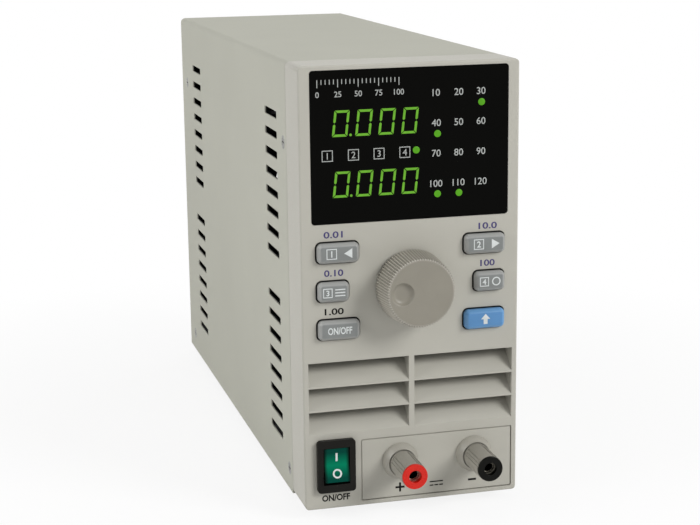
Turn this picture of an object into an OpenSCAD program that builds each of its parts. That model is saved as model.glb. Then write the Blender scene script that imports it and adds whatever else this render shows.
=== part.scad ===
// Bench dc electronic load in a tall, narrow metal case with a moulded front.
// Millimetres. X runs across the front, Y runs to the rear, Z is up.
// The origin is on the ground, below the middle of the overall box.
// Inside place() the front face is the plane y = 0 and the underside of the case is z = 0.

/* [Case] */
// Width of the case
body_w = 88; // [84:1:100]
// Height of the case without the feet
body_h = 175; // [170:1:190]
// Depth from the front face to the rear edge of the cover
body_d = 266; // [256:1:300]
// Corner radius of the case seen from the front
corner_r = 2.3; // [2:0.1:5]
// Sheet thickness of the cover
sheet_t = 1; // [0.8:0.1:1.4]
// Sheet thickness of the pan and the panels
frame_t = 1.2; // [1:0.1:1.6]
// Gap between the cover and the chassis inside it
fold_gap = 0.2; // [0.1:0.05:0.3]
// Gap between the front moulding and the cover
seam_gap = 0.3; // [0.2:0.1:0.6]
// Height of the side lips of the pan
lip_h = 18; // [15:1:22]
// Length of the flanges of the two panels
flange_l = 14; // [12:1:18]
// Gap from the pan's lips up to the side flanges of the panels
flange_up = 2; // [1:0.1:4]
// Side margin of the lower flanges of the panels
flange_side = 4.3; // [3:0.1:8]
// Distance of the screws in these flanges from the chassis side
panel_screw_in = 18; // [14:0.5:24]
// Margin of the cut-outs in the panel behind the moulding
cutout_gap = 1; // [0.6:0.1:1.4]
// Distance from the rear edge of the cover to the rear panel
rear_sink = 1; // [0.5:0.1:2]
// Sideways clearance of parts that sit in pockets and cut-outs
fit_gap = 0.15; // [0.1:0.05:0.25]

/* [Side slots] */
// Length of a cooling slot
slot_l = 22; // [16:1:28]
// Height of a cooling slot
slot_h = 3.1; // [2:0.1:3.4]
// Corner radius of a slot
slot_r = 0.6; // [0.3:0.1:0.9]
// Spacing of the slots
slot_pitch = 8.12; // [7:0.02:8.6]
// Slots in each group
slot_n = 8; // [4:1:8]
// Height of the middle between the two groups of slots
slot_mid_z = 85.6; // [82:0.1:90]
// Height from that middle to the first slot of a group
slot_first = 9.7; // [7:0.1:11]
// Distance of the front slots behind the front face
slot_front = 38; // [38:1:50]
// Distance of the rear slots from the rear edge
slot_rear = 32; // [28:1:45]

/* [Fasteners] */
// Shank radius of the cover and foot screws
screw_r = 1.5; // [1.2:0.1:1.8]
// Head radius of the cover screws
screw_head_r = 2.7; // [2.4:0.1:3]
// Length of the cover screws
screw_l = 6; // [5:0.5:8]
// Height of the lower cover screws
screw_low_z = 9; // [7:0.5:10]
// Height of the upper cover screws
screw_high_z = 143; // [130:1:150]
// Distance of the front cover screws behind the seam
screw_front = 5.5; // [5:0.1:8]
// Distance of the rear cover screws from the rear edge
screw_rear = 14.6; // [12:0.1:16]
// Clearance of a screw in its hole
screw_gap = 0.1; // [0.05:0.05:0.2]
// Shank radius of the small screws in the front moulding
small_r = 1.1; // [0.9:0.1:1.3]
// Height of a small screw head
small_head = 1.6; // [1.2:0.1:2]
// Head radius of a small screw
small_head_r = 2.2; // [2:0.1:2.6]
// Width of the cross in a screw head
cross_w = 0.5; // [0.4:0.05:0.8]
// Length of the cross as a share of the head's radius
cross_share = 1.2; // [1:0.1:1.4]
// Reach of a screw past the sheet it holds
screw_tip = 1; // [0.5:0.1:2]

/* [Feet] */
// Height of the rubber feet
foot_h = 4; // [3:0.5:8]
// Radius of a foot at its top
foot_r = 6.5; // [5:0.5:8]
// Radius of a foot on the ground
foot_low_r = 5.5; // [4:0.5:6.5]
// Inset of the feet from the sides
foot_in = 15; // [12:1:20]
// Distance of the front feet behind the front face
foot_front = 46; // [42:1:60]
// Distance of the rear feet from the rear edge
foot_rear = 32; // [28:1:50]
// Depth that a foot's stem reaches up through the pan
foot_stem = 3; // [2.5:0.5:4]

/* [Front moulding] */
// Depth of the front moulding
bezel_d = 21; // [20:0.5:26]
// Thickness of its side walls
bezel_wall = 2.4; // [2:0.1:3]
// Thickness of its front wall
front_wall = 3; // [2.8:0.1:3.4]
// Radius of its front edges
edge_r = 0.8; // [0.5:0.1:2.4]
// Radius of the screw bosses
boss_r = 2.2; // [1.9:0.1:2.4]
// Gap between a boss and the window or key above or below it
boss_gap = 0.6; // [0.5:0.1:1]
// Floor left in front of the hole in a boss
boss_floor = 1; // [0.8:0.1:1.5]
// Overlap that joins features of one moulding
weld = 0.3; // [0.2:0.1:0.5]

/* [Display] */
// Side margin of the window
window_side = 4.4; // [4:0.1:6]
// Margin above the window
window_top = 1.8; // [1.6:0.1:3]
// Height of the window
window_h = 58.8; // [57:0.1:62]
// Gap between the top keys and the window
window_gap = 6.5; // [6:0.1:8]
// Thickness of the window
window_t = 1.8; // [1.4:0.1:1.9]
// Depth of the window's face below the front face
window_sink = 0.2; // [0.1:0.05:0.3]
// Corner radius of the window
window_r = 1.4; // [1:0.1:2]
// Width of the ledge behind the window
ledge = 2; // [1.5:0.1:2.5]
// Length of a four-digit module
module_l = 40; // [38:0.5:42]
// Height of a four-digit module
module_h = 14.6; // [13:0.1:15]
// Thickness of a four-digit module
module_t = 7.4; // [6:0.1:7.6]
// Distance of the modules' centre left of the middle
module_x = 13.4; // [12.5:0.1:15]
// Height of the lower module's centre above the window's lower edge
module_low = 15.4; // [12:0.1:16]
// Spacing of the two modules
module_pitch = 23.3; // [20:0.1:24]
// Radius of an indicator lamp
lamp_r = 1.5; // [1:0.1:1.6]
// Length of an indicator lamp
lamp_l = 7.6; // [6:0.1:7.8]
// Spacing of the lamp columns
lamp_dx = 8.9; // [8:0.1:10]
// Spacing of the lamp rows
lamp_dz = 11.65; // [10:0.05:12]
// Position of the first lamp column right of the middle
lamp_x = 10.8; // [9.5:0.1:12]
// Height of the lowest lamps above the window's lower edge
lamp_low = 9.5; // [7:0.1:11]
// Spacing of the four lamps between the modules
cell_dx = 10.2; // [9:0.1:10.5]
// Position of the first of these lamps left of the middle
cell_x = 28.4; // [26:0.1:30]
// Drop of these lamps below the middle between the modules
cell_drop = 0.8; // [0:0.1:1.5]

/* [Circuit board behind the front] */
// Distance of the board behind the front face
board_y = 11; // [10.8:0.1:12]
// Thickness of both circuit boards
board_t = 1.6; // [1.2:0.1:2]
// Side margin of the board
board_side = 7.4; // [7:0.1:9]
// Margin of the board outside its upper screw bosses
board_edge = 1.4; // [1:0.1:2]
// Margin above the board
board_top = 4.5; // [4:0.1:6]
// Distance of the lower board screws from the middle
board_screw_x = 18; // [17:0.5:22]

/* [Keys] */
// Length of the long keys
key_long = 16.4; // [14:0.1:17]
// Length of the short keys
key_short = 12.3; // [10:0.1:13]
// Height of the keys
key_h = 7.7; // [6.5:0.1:8.2]
// Corner radius of the keys
key_r = 1.8; // [1:0.1:2.4]
// Gap around a key
key_gap = 0.6; // [0.4:0.1:0.8]
// Reach of the keys in front of the face
key_reach = 3; // [2:0.1:4]
// Height of a key's rounded crown
key_crown = 0.8; // [0.4:0.1:1.2]
// Travel of a key
key_travel = 0.8; // [0.5:0.1:1]
// Spacing of the key rows
key_pitch = 15.15; // [14.2:0.05:16]
// Gap from the cooling grille to the lowest keys
key_low = 8.7; // [8.2:0.1:10]
// Side margin of the key holes
key_side = 5.6; // [5:0.1:7]
// Width of the flange that keeps a key in its hole
key_flange = 1; // [0.8:0.1:1.2]
// Thickness of that flange
key_flange_t = 1.2; // [1:0.1:1.6]
// Gap between that flange and the front wall
key_play = 0.1; // [0.05:0.05:0.2]
// Radius of a key's stem
stem_r = 1.7; // [1.4:0.1:2]
// Width of a key switch
tact_w = 6; // [5:0.1:7]
// Height of a key switch
tact_h = 3.6; // [3:0.1:4]
// Depth that a stem stands in its switch at rest
stem_in = 0.4; // [0.3:0.1:0.6]
// Sideways clearance of a stem in its switch
stem_gap = 0.2; // [0.1:0.05:0.3]

/* [Knob] */
// Radius of the knob at its base
knob_r = 14.8; // [12:0.1:16]
// Radius of the knob at its front
knob_front_r = 13.7; // [11:0.1:14.5]
// Reach of the knob in front of the face
knob_reach = 13.8; // [12:0.1:18]
// Gap between the knob and the face
knob_gap = 0.8; // [0.5:0.1:1.2]
// Number of ridges
ridge_n = 80; // [40:1:100]
// Depth of the grooves between the ridges
ridge_d = 0.55; // [0.2:0.05:0.7]
// Height of the rounded front edge
knob_edge = 0.6; // [0.4:0.1:2]
// Distance of the finger dimple from the axis
dimple_x = 7.4; // [6:0.1:8]
// Radius of the finger dimple
dimple_r = 4.7; // [3:0.1:5]
// Depth of the finger dimple
dimple_d = 1.5; // [0.8:0.1:2]
// Wall of the hollow knob
knob_wall = 2.6; // [2:0.1:3.5]
// Thickness of the knob's front
knob_face = 4.4; // [4:0.1:6]
// Radius of the encoder shaft
shaft_r = 3; // [2.5:0.1:3.2]
// Running clearance of the encoder shaft
shaft_gap = 0.05; // [0.03:0.01:0.09]
// Radius of the encoder's collar
bush_r = 4; // [3.8:0.1:4.5]
// Width of the encoder's case
encoder_w = 12.4; // [11:0.1:14]
// Height of the encoder's case above its board
encoder_h = 5.8; // [5:0.1:6.5]
// Depth of the shaft in that case
encoder_in = 5; // [4:0.1:5]

/* [Cooling grille] */
// Side margin of the grille
grille_side = 2.2; // [1.8:0.1:3]
// Gap from the terminal plate to the grille
grille_gap = 3.6; // [3:0.1:6]
// Spacing that the blades come close to
blade_pitch = 10.15; // [9:0.05:10.5]
// Height of the lowest row of openings
blade_low = 9.6; // [6:0.1:10]
// Thickness of a blade
blade_t = 0.6; // [0.5:0.1:1.2]
// Slope of the blades
blade_deg = 45; // [35:1:48]
// Depth of the blades
blade_d = 10; // [8:0.5:12]
// Width of the bar between the two columns
mullion_w = 2.2; // [1.6:0.1:3]

/* [Terminal plate] */
// Height of the plate above the underside
plate_low = 1.9; // [1.8:0.1:2.6]
// Height of the plate's pocket
plate_h = 25.6; // [24:0.1:27]
// Thickness of the plate
plate_t = 1.6; // [1.2:0.1:1.7]
// Depth of the plate's face below the front face
plate_sink = 0.2; // [0.1:0.1:0.8]
// Width of the step around the plate
plate_groove = 0.5; // [0.3:0.1:0.7]
// Depth of the step around the plate
plate_step = 0.4; // [0.2:0.1:0.8]
// Margin right of the plate
plate_side = 2.1; // [1.8:0.1:3]
// Corner radius of the plate
plate_r = 0.8; // [0.8:0.1:1.2]
// Gap between the power switch and the plate
plate_gap = 2.7; // [2.4:0.1:5]

/* [Binding posts] */
// Distance of the posts from the plate's ends
post_in = 16.1; // [14:0.1:18]
// Height of the posts above the plate's lower edge
post_up = 15.4; // [13:0.1:16]
// Reach of the posts in front of the face
post_reach = 20.6; // [19:0.1:26]
// Radius of the fixed collars
collar_r = 7.3; // [6.2:0.1:7.5]
// Reach of the collars in front of the face
collar_reach = 3.5; // [2.5:0.1:4.5]
// Taper of the foot of the collars
collar_taper = 0.4; // [0.2:0.1:0.8]
// Reach of the foot of the collars in front of the face
collar_foot = 1.6; // [1:0.1:2.4]
// Taper of the shoulders of the collars
collar_shoulder = 1.3; // [0.5:0.1:1.5]
// Radius of a collar's sleeve in the plate
sleeve_r = 4.6; // [4.2:0.1:5]
// Radius of the caps
cap_r = 5.2; // [4.8:0.1:6]
// Gap between a cap and its collar
cap_gap = 0.3; // [0.2:0.1:0.6]
// Depth of the grooves in the caps
flute_d = 0.3; // [0.2:0.05:0.4]
// Groups of grooves around a cap
flute_n = 4; // [3:1:6]
// Angle between the grooves of a group
flute_deg = 14; // [10:1:18]
// Length of a cap's smooth foot
cap_foot = 1.2; // [0.8:0.1:3]
// Thickness of the coloured end rings
ring_t = 1.2; // [1:0.1:2]
// Step from a cap down to its end ring
ring_step = 0.2; // [0.1:0.05:0.4]
// Length of an end ring's sleeve
ring_sleeve = 2.2; // [1.5:0.1:2.6]
// Radius of an end ring's sleeve
ring_sleeve_r = 4; // [3.7:0.1:4.2]
// Radius of the hole in an end ring
ring_hole_r = 2.5; // [2.2:0.1:2.8]
// Radius of the threaded studs
stud_r = 3; // [2.8:0.1:3.2]
// Running clearance on the studs
stud_gap = 0.06; // [0.03:0.01:0.09]
// Radius of the plug socket in a stud
socket_r = 2; // [1.8:0.05:2.2]
// Depth of the plug socket
socket_l = 14; // [10:0.5:15]
// Gap from an end ring to the stud behind it
stud_sink = 0.4; // [0.3:0.1:0.8]
// Width of a nut across its corners
nut_w = 11; // [10:0.5:12]
// Thickness of a nut
nut_t = 3; // [2.4:0.1:3.6]
// Reach of a stud behind its last nut
stud_over = 1; // [0.5:0.1:2]
// Thickness of the connecting bars
bar_t = 1.5; // [1:0.1:2]
// Width of the connecting bars
bar_w = 10; // [8:0.5:11]
// Gap from the front panel sheet to the connecting bars
bar_gap = 4.6; // [4:0.1:7]
// Length of the connecting bars on the main board
bar_over = 10; // [8:1:14]

/* [Power switch] */
// Side margin of the switch frame
switch_side = 4.9; // [3.8:0.1:6]
// Width of the switch frame
switch_w = 15.4; // [14.8:0.1:16]
// Height of the switch frame
switch_h = 21.4; // [20.8:0.1:22]
// Thickness of the switch frame
switch_lip = 2; // [1.5:0.1:2.5]
// Corner radius of the switch frame
switch_r = 1.4; // [1:0.1:2]
// Height of the switch centre
switch_z = 18; // [16:0.1:18.5]
// Width of the frame around the switch body
switch_rim = 1.2; // [1:0.1:1.4]
// Depth of the switch body behind the face
switch_d = 16; // [14:0.5:17]
// Wall of the switch body beside the rocker
switch_wall = 1.2; // [1:0.1:1.4]
// Half the length of the rocker
rock_half = 6.7; // [6:0.1:7]
// Thickness of the rocker in front of its pivot
rock_front = 3.2; // [2.8:0.1:3.6]
// Depth of the pivot behind the face
rock_pivot = 1.6; // [1.2:0.1:2]
// Tilt of the rocker to each side
rock_deg = 9; // [7:0.5:11]
// Gap beside the rocker
rock_gap = 0.25; // [0.2:0.05:0.4]
// Radius of the pivot pins
rock_pin_r = 1.2; // [1:0.05:1.4]
// Clearance of the pivot pins
rock_pin_gap = 0.06; // [0.03:0.01:0.09]
// Depth of the hollow behind the pivot
rock_room = 5; // [4.5:0.1:6]
// Depth of the rocker's back behind the pivot
rock_back = 3.2; // [2.8:0.1:3.6]
// Half the height of the rocker's back
rock_heel = 2; // [1.5:0.1:2.5]
// Depth of the rocker's ends behind the pivot
rock_skirt = 1; // [0.6:0.1:1.4]
// Taper of the rocker's ends
rock_taper = 0.6; // [0.4:0.1:1]
// Length of the switch blades
blade_l = 8; // [6:0.5:10]
// Width of the switch blades
contact_w = 4.8; // [4:0.1:6]
// Thickness of the switch blades
contact_t = 0.8; // [0.6:0.1:1]
// Spacing of the switch blades
contact_pitch = 6; // [5:0.1:7]

/* [Rear fan] */
// Width of the fan
fan_w = 60; // [56:1:64]
// Thickness of the fan
fan_t = 20; // [18:1:25]
// Height of the fan's centre below the top
fan_down = 62; // [55:1:66]
// Spacing of the fan screws
fan_pitch = 50; // [46:0.5:52]
// Radius of the fan duct
duct_r = 28; // [26:0.5:28.5]
// Radius of the fan hub
hub_r = 12.5; // [10:0.5:14]
// Thickness of the fixed hub
hub_t = 4; // [3.5:0.1:5]
// Floor of the shaft's bearing in the fixed hub
hub_floor = 1; // [0.8:0.1:1.5]
// Width of the arms that carry the fixed hub
strut_w = 4; // [3:0.1:6]
// Thickness of these arms
strut_t = 3; // [2:0.1:3.5]
// Gap between the rotor and the fixed hub
rotor_gap = 0.6; // [0.4:0.1:1]
// Distance of the rotor from the rear panel
rotor_sink = 1.4; // [1:0.1:2]
// Thickness of a fan blade
vane_t = 1.4; // [1:0.1:2]
// Distance of the blades from the rotor's ends
vane_in = 1; // [0.6:0.1:2]
// Slope of the fan blades
vane_deg = 48; // [40:1:55]
// Gap between the blades and the duct
tip_gap = 0.8; // [0.6:0.1:1.2]
// Number of fan blades
fan_blades = 7; // [5:1:9]
// Radius of the fan shaft
axle_r = 1.5; // [1:0.1:2]
// Running clearance of the fan shaft
axle_gap = 0.05; // [0.03:0.01:0.09]
// Shank radius of the fan screws
fan_screw_r = 2; // [1.6:0.1:2.2]
// Wire radius of the finger guard
wire_r = 0.8; // [0.6:0.05:1]
// Rings of the finger guard
guard_n = 3; // [2:1:5]

/* [Mains inlet] */
// Distance of the inlet right of the middle
inlet_x = 20; // [18:0.5:22]
// Height of the inlet's centre
inlet_z = 32; // [28:0.5:36]
// Width of the inlet's flange
inlet_w = 31; // [30:0.5:33]
// Height of the inlet's flange
inlet_h = 39; // [38:0.5:42]
// Thickness of the inlet's flange
inlet_t = 2; // [1.5:0.1:2.5]
// Depth of the inlet's body behind the panel
inlet_d = 24; // [22:0.5:26]
// Step from the flange to the body
inlet_step = 1.8; // [1.4:0.1:2]
// Width of the plug socket
plug_w = 24; // [23.6:0.1:24.4]
// Height of the plug socket
plug_h = 16.4; // [16:0.1:17]
// Depth of the plug socket
plug_d = 16; // [15:0.5:17]
// Height of the plug socket above the inlet's centre
plug_up = 6.5; // [6:0.1:8]
// Spacing of the pins
prong_pitch = 7; // [6.5:0.1:7.5]
// Thickness of a pin
prong_w = 2; // [1.8:0.1:2.2]
// Height of a pin
prong_h = 4; // [3.6:0.1:4.4]
// Drop of the outer pins' lower edge below the socket's centre
prong_drop = 3.5; // [3:0.1:4]
// Height of the middle pin above the others
prong_up = 4; // [3.5:0.1:4.5]
// Distance of the pins' tips inside the mouth of the socket
prong_sink = 2; // [1:0.1:4]
// Width of the fuse drawer
drawer_w = 25; // [24:0.1:25.4]
// Height of the fuse drawer
drawer_h = 8; // [7.4:0.1:8.6]
// Depth of the fuse drawer
drawer_d = 20; // [17:0.5:20]
// Drop of the fuse drawer below the inlet's centre
drawer_down = 11; // [10:0.1:11.5]
// Clearance around the fuse drawer
drawer_gap = 0.3; // [0.2:0.05:0.4]
// Wall of the drawer in front of the fuse
drawer_end = 3; // [2:0.1:4]
// Reach of the drawer's grip
grip = 1.4; // [1:0.1:2]
// Radius of the fuse
fuse_r = 2.6; // [2.5:0.1:2.8]
// Length of the fuse
fuse_l = 20; // [19:0.5:20.5]

/* [Serial port and selector] */
// Distance of the port and the selector left of the middle
port_x = 20; // [19:0.5:23]
// Height of the port's centre
port_z = 24; // [18:0.5:28]
// Spacing of the jack screws
jack_pitch = 25; // [24.5:0.1:25.5]
// Radius of the threaded hole in a jack screw
jack_r = 1.25; // [1.1:0.05:1.4]
// Reach of the port behind the panel
port_reach = 6; // [5:0.1:8]
// Length of a jack screw's hexagon
jack_l = 5; // [4:0.1:5]
// Width of a jack screw's hexagon across its corners
jack_w = 5.6; // [5:0.1:6]
// Reach of a jack screw behind the panel
jack_tip = 2; // [1.5:0.1:3]
// Width of the port's shell
port_w = 16.6; // [16:0.1:17.4]
// Height of the port's shell
port_h = 8.2; // [7.8:0.1:8.6]
// Sheet thickness of the port's shell
port_t = 0.8; // [0.5:0.1:1]
// Height of the shell's flange
port_flange_h = 12.5; // [12:0.1:13.5]
// Reach of that flange past the jack screws
port_ear = 3; // [2.8:0.1:3.5]
// Corner radius of that flange
port_r = 1; // [0.5:0.1:1.5]
// Slope of the shell's sides
port_deg = 10; // [8:0.5:12]
// Step from the port's block to the shell
port_rim = 1; // [0.6:0.1:1.4]
// Spacing of the contacts
pin_pitch = 2.77; // [2.7:0.01:2.8]
// Distance of a row of contacts from the middle
pin_row = 1.42; // [1.3:0.01:1.5]
// Radius of a contact hole
pin_r = 0.55; // [0.5:0.05:0.6]
// Depth of the port's block inside the case
port_d = 10; // [8:0.5:12]
// Height of the voltage selector's centre
selector_z = 50; // [44:0.5:58]
// Width of the selector's plate
selector_w = 24; // [22:0.5:28]
// Height of the selector's plate
selector_h = 13; // [12:0.5:16]
// Depth of the selector's body
selector_d = 9; // [8:0.5:12]
// Thickness of the selector's plate
selector_t = 1.2; // [1:0.1:1.6]
// Corner radius of the selector's plate
selector_r = 1.5; // [0.5:0.1:2]
// Reach of the plate past the body at its ends
selector_ear = 3; // [2:0.1:3.4]
// Reach of the plate past the body above and below
selector_rim = 1; // [0.6:0.1:1.5]
// Width of the selector's slider
slider_w = 8.4; // [7:0.1:9]
// Height of the selector's slider
slider_h = 6.4; // [5.6:0.1:7]
// Travel of the selector's slider
slider_run = 5; // [3.5:0.1:5.5]
// Width of the slot for a tool in the slider
slider_slot = 1.6; // [1:0.1:2]
// Clearance around the slider
slider_gap = 0.3; // [0.2:0.05:0.4]

/* [Inside] */
// Height of the standoffs under the main board
standoff_h = 38; // [37:0.5:42]
// Radius of the standoffs
standoff_r = 3; // [2.5:0.1:3.5]
// Distance of the main board behind the front face
main_y = 62; // [58:1:66]
// Side margin of the main board inside the chassis
main_side = 4; // [3:0.5:6]
// Distance of the standoffs from the board's edges
standoff_in = 6; // [5:0.5:8]
// Gap between the main board and the heat sink
sink_gap = 16; // [14:0.5:18]
// Length of the heat sink
sink_l = 84; // [70:1:86]
// Distance of the heat sink behind the main board's front edge
sink_y = 14; // [12:1:16]
// Thickness of the heat sink's base
sink_base = 8; // [6:0.5:10]
// Height of the fins
fin_h = 44; // [30:1:46]
// Thickness of a fin
fin_t = 2.2; // [1.6:0.1:3]
// Number of fins
fin_n = 9; // [5:1:11]
// Side margin of the heat sink inside the chassis
sink_side = 9; // [7:0.5:12]
// Length of a power transistor
fet_l = 20; // [18:0.5:22]
// Width of a power transistor
fet_w = 15.6; // [14:0.1:16]
// Thickness of a power transistor
fet_t = 5; // [4:0.1:5.5]
// Gap between the power transistors
fet_gap = 8; // [5:0.5:9]
// Width of a transistor's leg
leg_w = 1.2; // [0.8:0.1:1.6]
// Thickness of a transistor's leg
leg_t = 0.8; // [0.5:0.1:1]
// Radius of the filter capacitors
can_r = 8; // [6:0.5:9]
// Height of the filter capacitors
can_h = 25; // [20:1:30]
// Gap between the filter capacitors
can_gap = 3; // [2:0.1:5]
// Gap from the heat sink to the capacitors
sink_rear = 3.8; // [3:0.1:8]
// Margin of the main board behind the capacitors
can_edge = 4; // [3:0.5:8]
// Width of the transformer core
core_w = 42; // [38:0.5:46]
// Height of the transformer core
core_h = 35; // [30:0.5:37]
// Thickness of the transformer core
core_t = 17; // [14:0.5:20]
// Width of the core's outer limbs
limb = 7; // [6:0.1:8]
// Overhang of the winding on both sides of the core
coil_over = 6.5; // [5:0.1:8]
// Clearance of the winding in the core
coil_gap = 0.3; // [0.2:0.1:0.5]
// Gap from the mains inlet to the transformer
core_gap = 6; // [4:0.5:8]
// Distance of the transformer left of the middle
core_x = 10; // [6:0.5:14]

/* [Hidden] */
$fn = 64;
// Length by which a cut passes the face it leaves
past = 1;

// Planes along the depth
panel_out = body_d - rear_sink;
panel_in = panel_out - frame_t;
sub_back = bezel_d + frame_t;
cover_y = bezel_d + seam_gap;
rear_reach = max(port_reach, inlet_t + grip) - rear_sink;
front_y = -(body_d + rear_reach - post_reach) / 2;

// Inside of the cover
in_x = body_w / 2 - sheet_t - fold_gap;
in_top = body_h - sheet_t - fold_gap;
tap_r = screw_r + screw_gap / 2;
screw_ys = [cover_y + screw_front, body_d - screw_rear];
flange_low = lip_h + flange_up;
panel_screw_x = in_x - panel_screw_in;
panel_screw_ys = [sub_back + flange_l / 2, panel_in - flange_l / 2];

// Front face, with the grille in what the window, keys and plate leave free
plate_x0 = -body_w / 2 + switch_side + switch_w + plate_gap;
plate_x1 = body_w / 2 - plate_side;
plate_w = plate_x1 - plate_x0;
plate_x = (plate_x0 + plate_x1) / 2;
plate_z = plate_low + plate_h / 2;
plate_back = plate_sink + plate_t;
grille_z = plate_low + plate_h + grille_gap;
grille_w = body_w - 2 * grille_side;
hole_h = key_h + 2 * key_gap;
window_low = body_h - window_top - window_h;
key_zs = [for (i = [0:2]) window_low - window_gap - hole_h / 2 - (2 - i) * key_pitch];
grille_h = key_zs[0] - hole_h / 2 - key_low - grille_z;
blade_rows = max(1, round((grille_h - blade_low) / blade_pitch));
blade_step = (grille_h - blade_low) / blade_rows;
long_x = body_w / 2 - key_side - key_gap - key_long / 2;
short_x = body_w / 2 - key_side - key_gap - key_short / 2;
keys = [[-long_x, key_zs[2], key_long], [-short_x, key_zs[1], key_short], [-long_x, key_zs[0], key_long],
    [long_x, key_zs[2], key_long], [short_x, key_zs[1], key_short], [long_x, key_zs[0], key_long]];
knob_z = key_zs[1];
window_w = body_w - 2 * window_side;
window_z = window_low + window_h / 2;
window_back = window_sink + window_t;
upper_z = window_low + module_low + module_pitch;
lower_z = window_low + module_low;
lamps = concat(
    [for (i = [0:2], k = [0:3]) [lamp_x + i * lamp_dx, window_low + lamp_low + k * lamp_dz]],
    [for (i = [0:3]) [-cell_x + i * cell_dx, (upper_z + lower_z) / 2 - cell_drop]]);

// Screw bosses of the front moulding
boss_x = in_x - frame_t - small_head_r - fold_gap;
boss_top = window_low - boss_r - boss_gap;
boss_low = key_zs[0] - hole_h / 2 - key_flange - boss_r - boss_gap;
bezel_posts = [for (s = [-1, 1], z = [boss_low, boss_top]) [s * boss_x, z]];
board_x = body_w / 2 - board_side;
board_posts = [for (s = [-1, 1]) each
    [[s * (board_x - boss_r - board_edge), boss_top], [s * board_screw_x, boss_low]]];
board_low = boss_low - boss_r;

// Binding posts
post_xs = [plate_x0 + post_in, plate_x1 - post_in];
post_z = plate_low + post_up;
cap_front = post_reach - ring_t;
cap_back = collar_reach + cap_gap;
shoulder_r = collar_r - collar_taper;
stud_front = cap_front - ring_sleeve - stud_sink;
bar_y = sub_back + bar_gap;
stud_back = bar_y + bar_t + nut_t + stud_over;

// Power switch
switch_x = -body_w / 2 + switch_side + switch_w / 2;
switch_body_w = switch_w - 2 * switch_rim;
switch_body_h = switch_h - 2 * switch_rim;
rock_w = switch_body_w - 2 * switch_wall - 2 * rock_gap;
rock_end = rock_front + rock_half * tan(rock_deg);
rock_swing = rock_half * cos(rock_deg) + rock_end * sin(rock_deg);

// Rear fan
fan_z = body_h - fan_down;
fan_y = panel_in - fan_t;
rotor_y = fan_y + hub_t + rotor_gap;
rotor_t = panel_in - rotor_sink - rotor_y;
guard_y = panel_out + wire_r;
eye_r = fan_screw_r + wire_r + 2 * screw_gap;

// Mains inlet
inlet_out = panel_out + inlet_t;
inlet_body_w = inlet_w - 2 * inlet_step;
inlet_body_h = inlet_h - 2 * inlet_step;
plug_z = inlet_z + plug_up;
drawer_z = inlet_z - drawer_down;

// Inside
main_z = frame_t + standoff_h;
main_top = main_z + board_t;
sink_front = main_y + sink_y;
can_y = sink_front + sink_l + sink_rear + can_r;
main_l = can_y + can_r + can_edge - main_y;
main_x = in_x - frame_t - main_side;
stand_ys = [main_y + standoff_in, main_y + main_l - standoff_in];
sink_z = main_top + sink_gap;
sink_x = in_x - sink_side;
core_y = panel_out - inlet_d - core_gap - coil_over - core_t;

// Colours
body_grey = [0.72, 0.71, 0.67];
front_grey = [0.71, 0.69, 0.65];
knob_grey = [0.52, 0.50, 0.47];
key_grey = [0.42, 0.43, 0.44];
dark = [0.05, 0.05, 0.05];
steel = [0.75, 0.75, 0.74];
brass = [0.80, 0.70, 0.45];
board_green = [0.08, 0.30, 0.16];

// Puts front-face coordinates into the frame of the whole object
module place() {
    translate([0, front_y, foot_h]) children();
}

// Pushes an x-z outline along the depth
module along_y(y0, len) {
    translate([0, y0 + len, 0]) rotate([90, 0, 0]) linear_extrude(len) children();
}

// Pushes a y-z outline across the width
module along_x(x0, len) {
    translate([x0, 0, 0]) rotate([90, 0, 90]) linear_extrude(len) children();
}

// Round bar along the depth
module rod_y(x, y0, z, r, len, front_r = -1) {
    translate([x, y0, z]) rotate([-90, 0, 0]) cylinder(r1 = front_r < 0 ? r : front_r, r2 = r, h = len);
}

// Round bar across the width
module rod_x(x0, y, z, r, len) {
    translate([x0, y, z]) rotate([0, 90, 0]) cylinder(r = r, h = len);
}

// Rectangle with round corners about the origin
module rounded(w, h, r) {
    square([w, h - 2 * r], center = true);
    square([w - 2 * r, h], center = true);
    for (sx = [-1, 1], sz = [-1, 1])
        translate([sx * (w / 2 - r), sz * (h / 2 - r)]) circle(r);
}

// Six-sided nut or hexagon along the depth
module hex_y(x, y0, z, w, len) {
    translate([x, y0, z]) rotate([-90, 0, 0]) cylinder(d = w, h = len, $fn = 6);
}

// Case section, open at the bottom
module arch(w, h, r) {
    translate([-w / 2, 0]) square([w, h - r]);
    translate([-w / 2 + r, 0]) square([w - 2 * r, h]);
    for (s = [-1, 1]) translate([s * (w / 2 - r), h - r]) circle(r);
}

// Side view of the moulding with soft front corners
module soft_side(len) {
    translate([edge_r, 0]) square([bezel_d - edge_r, len]);
    translate([0, edge_r]) square([bezel_d, len - 2 * edge_r]);
    translate([edge_r, edge_r]) circle(edge_r);
    translate([edge_r, len - edge_r]) circle(edge_r);
}

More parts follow.
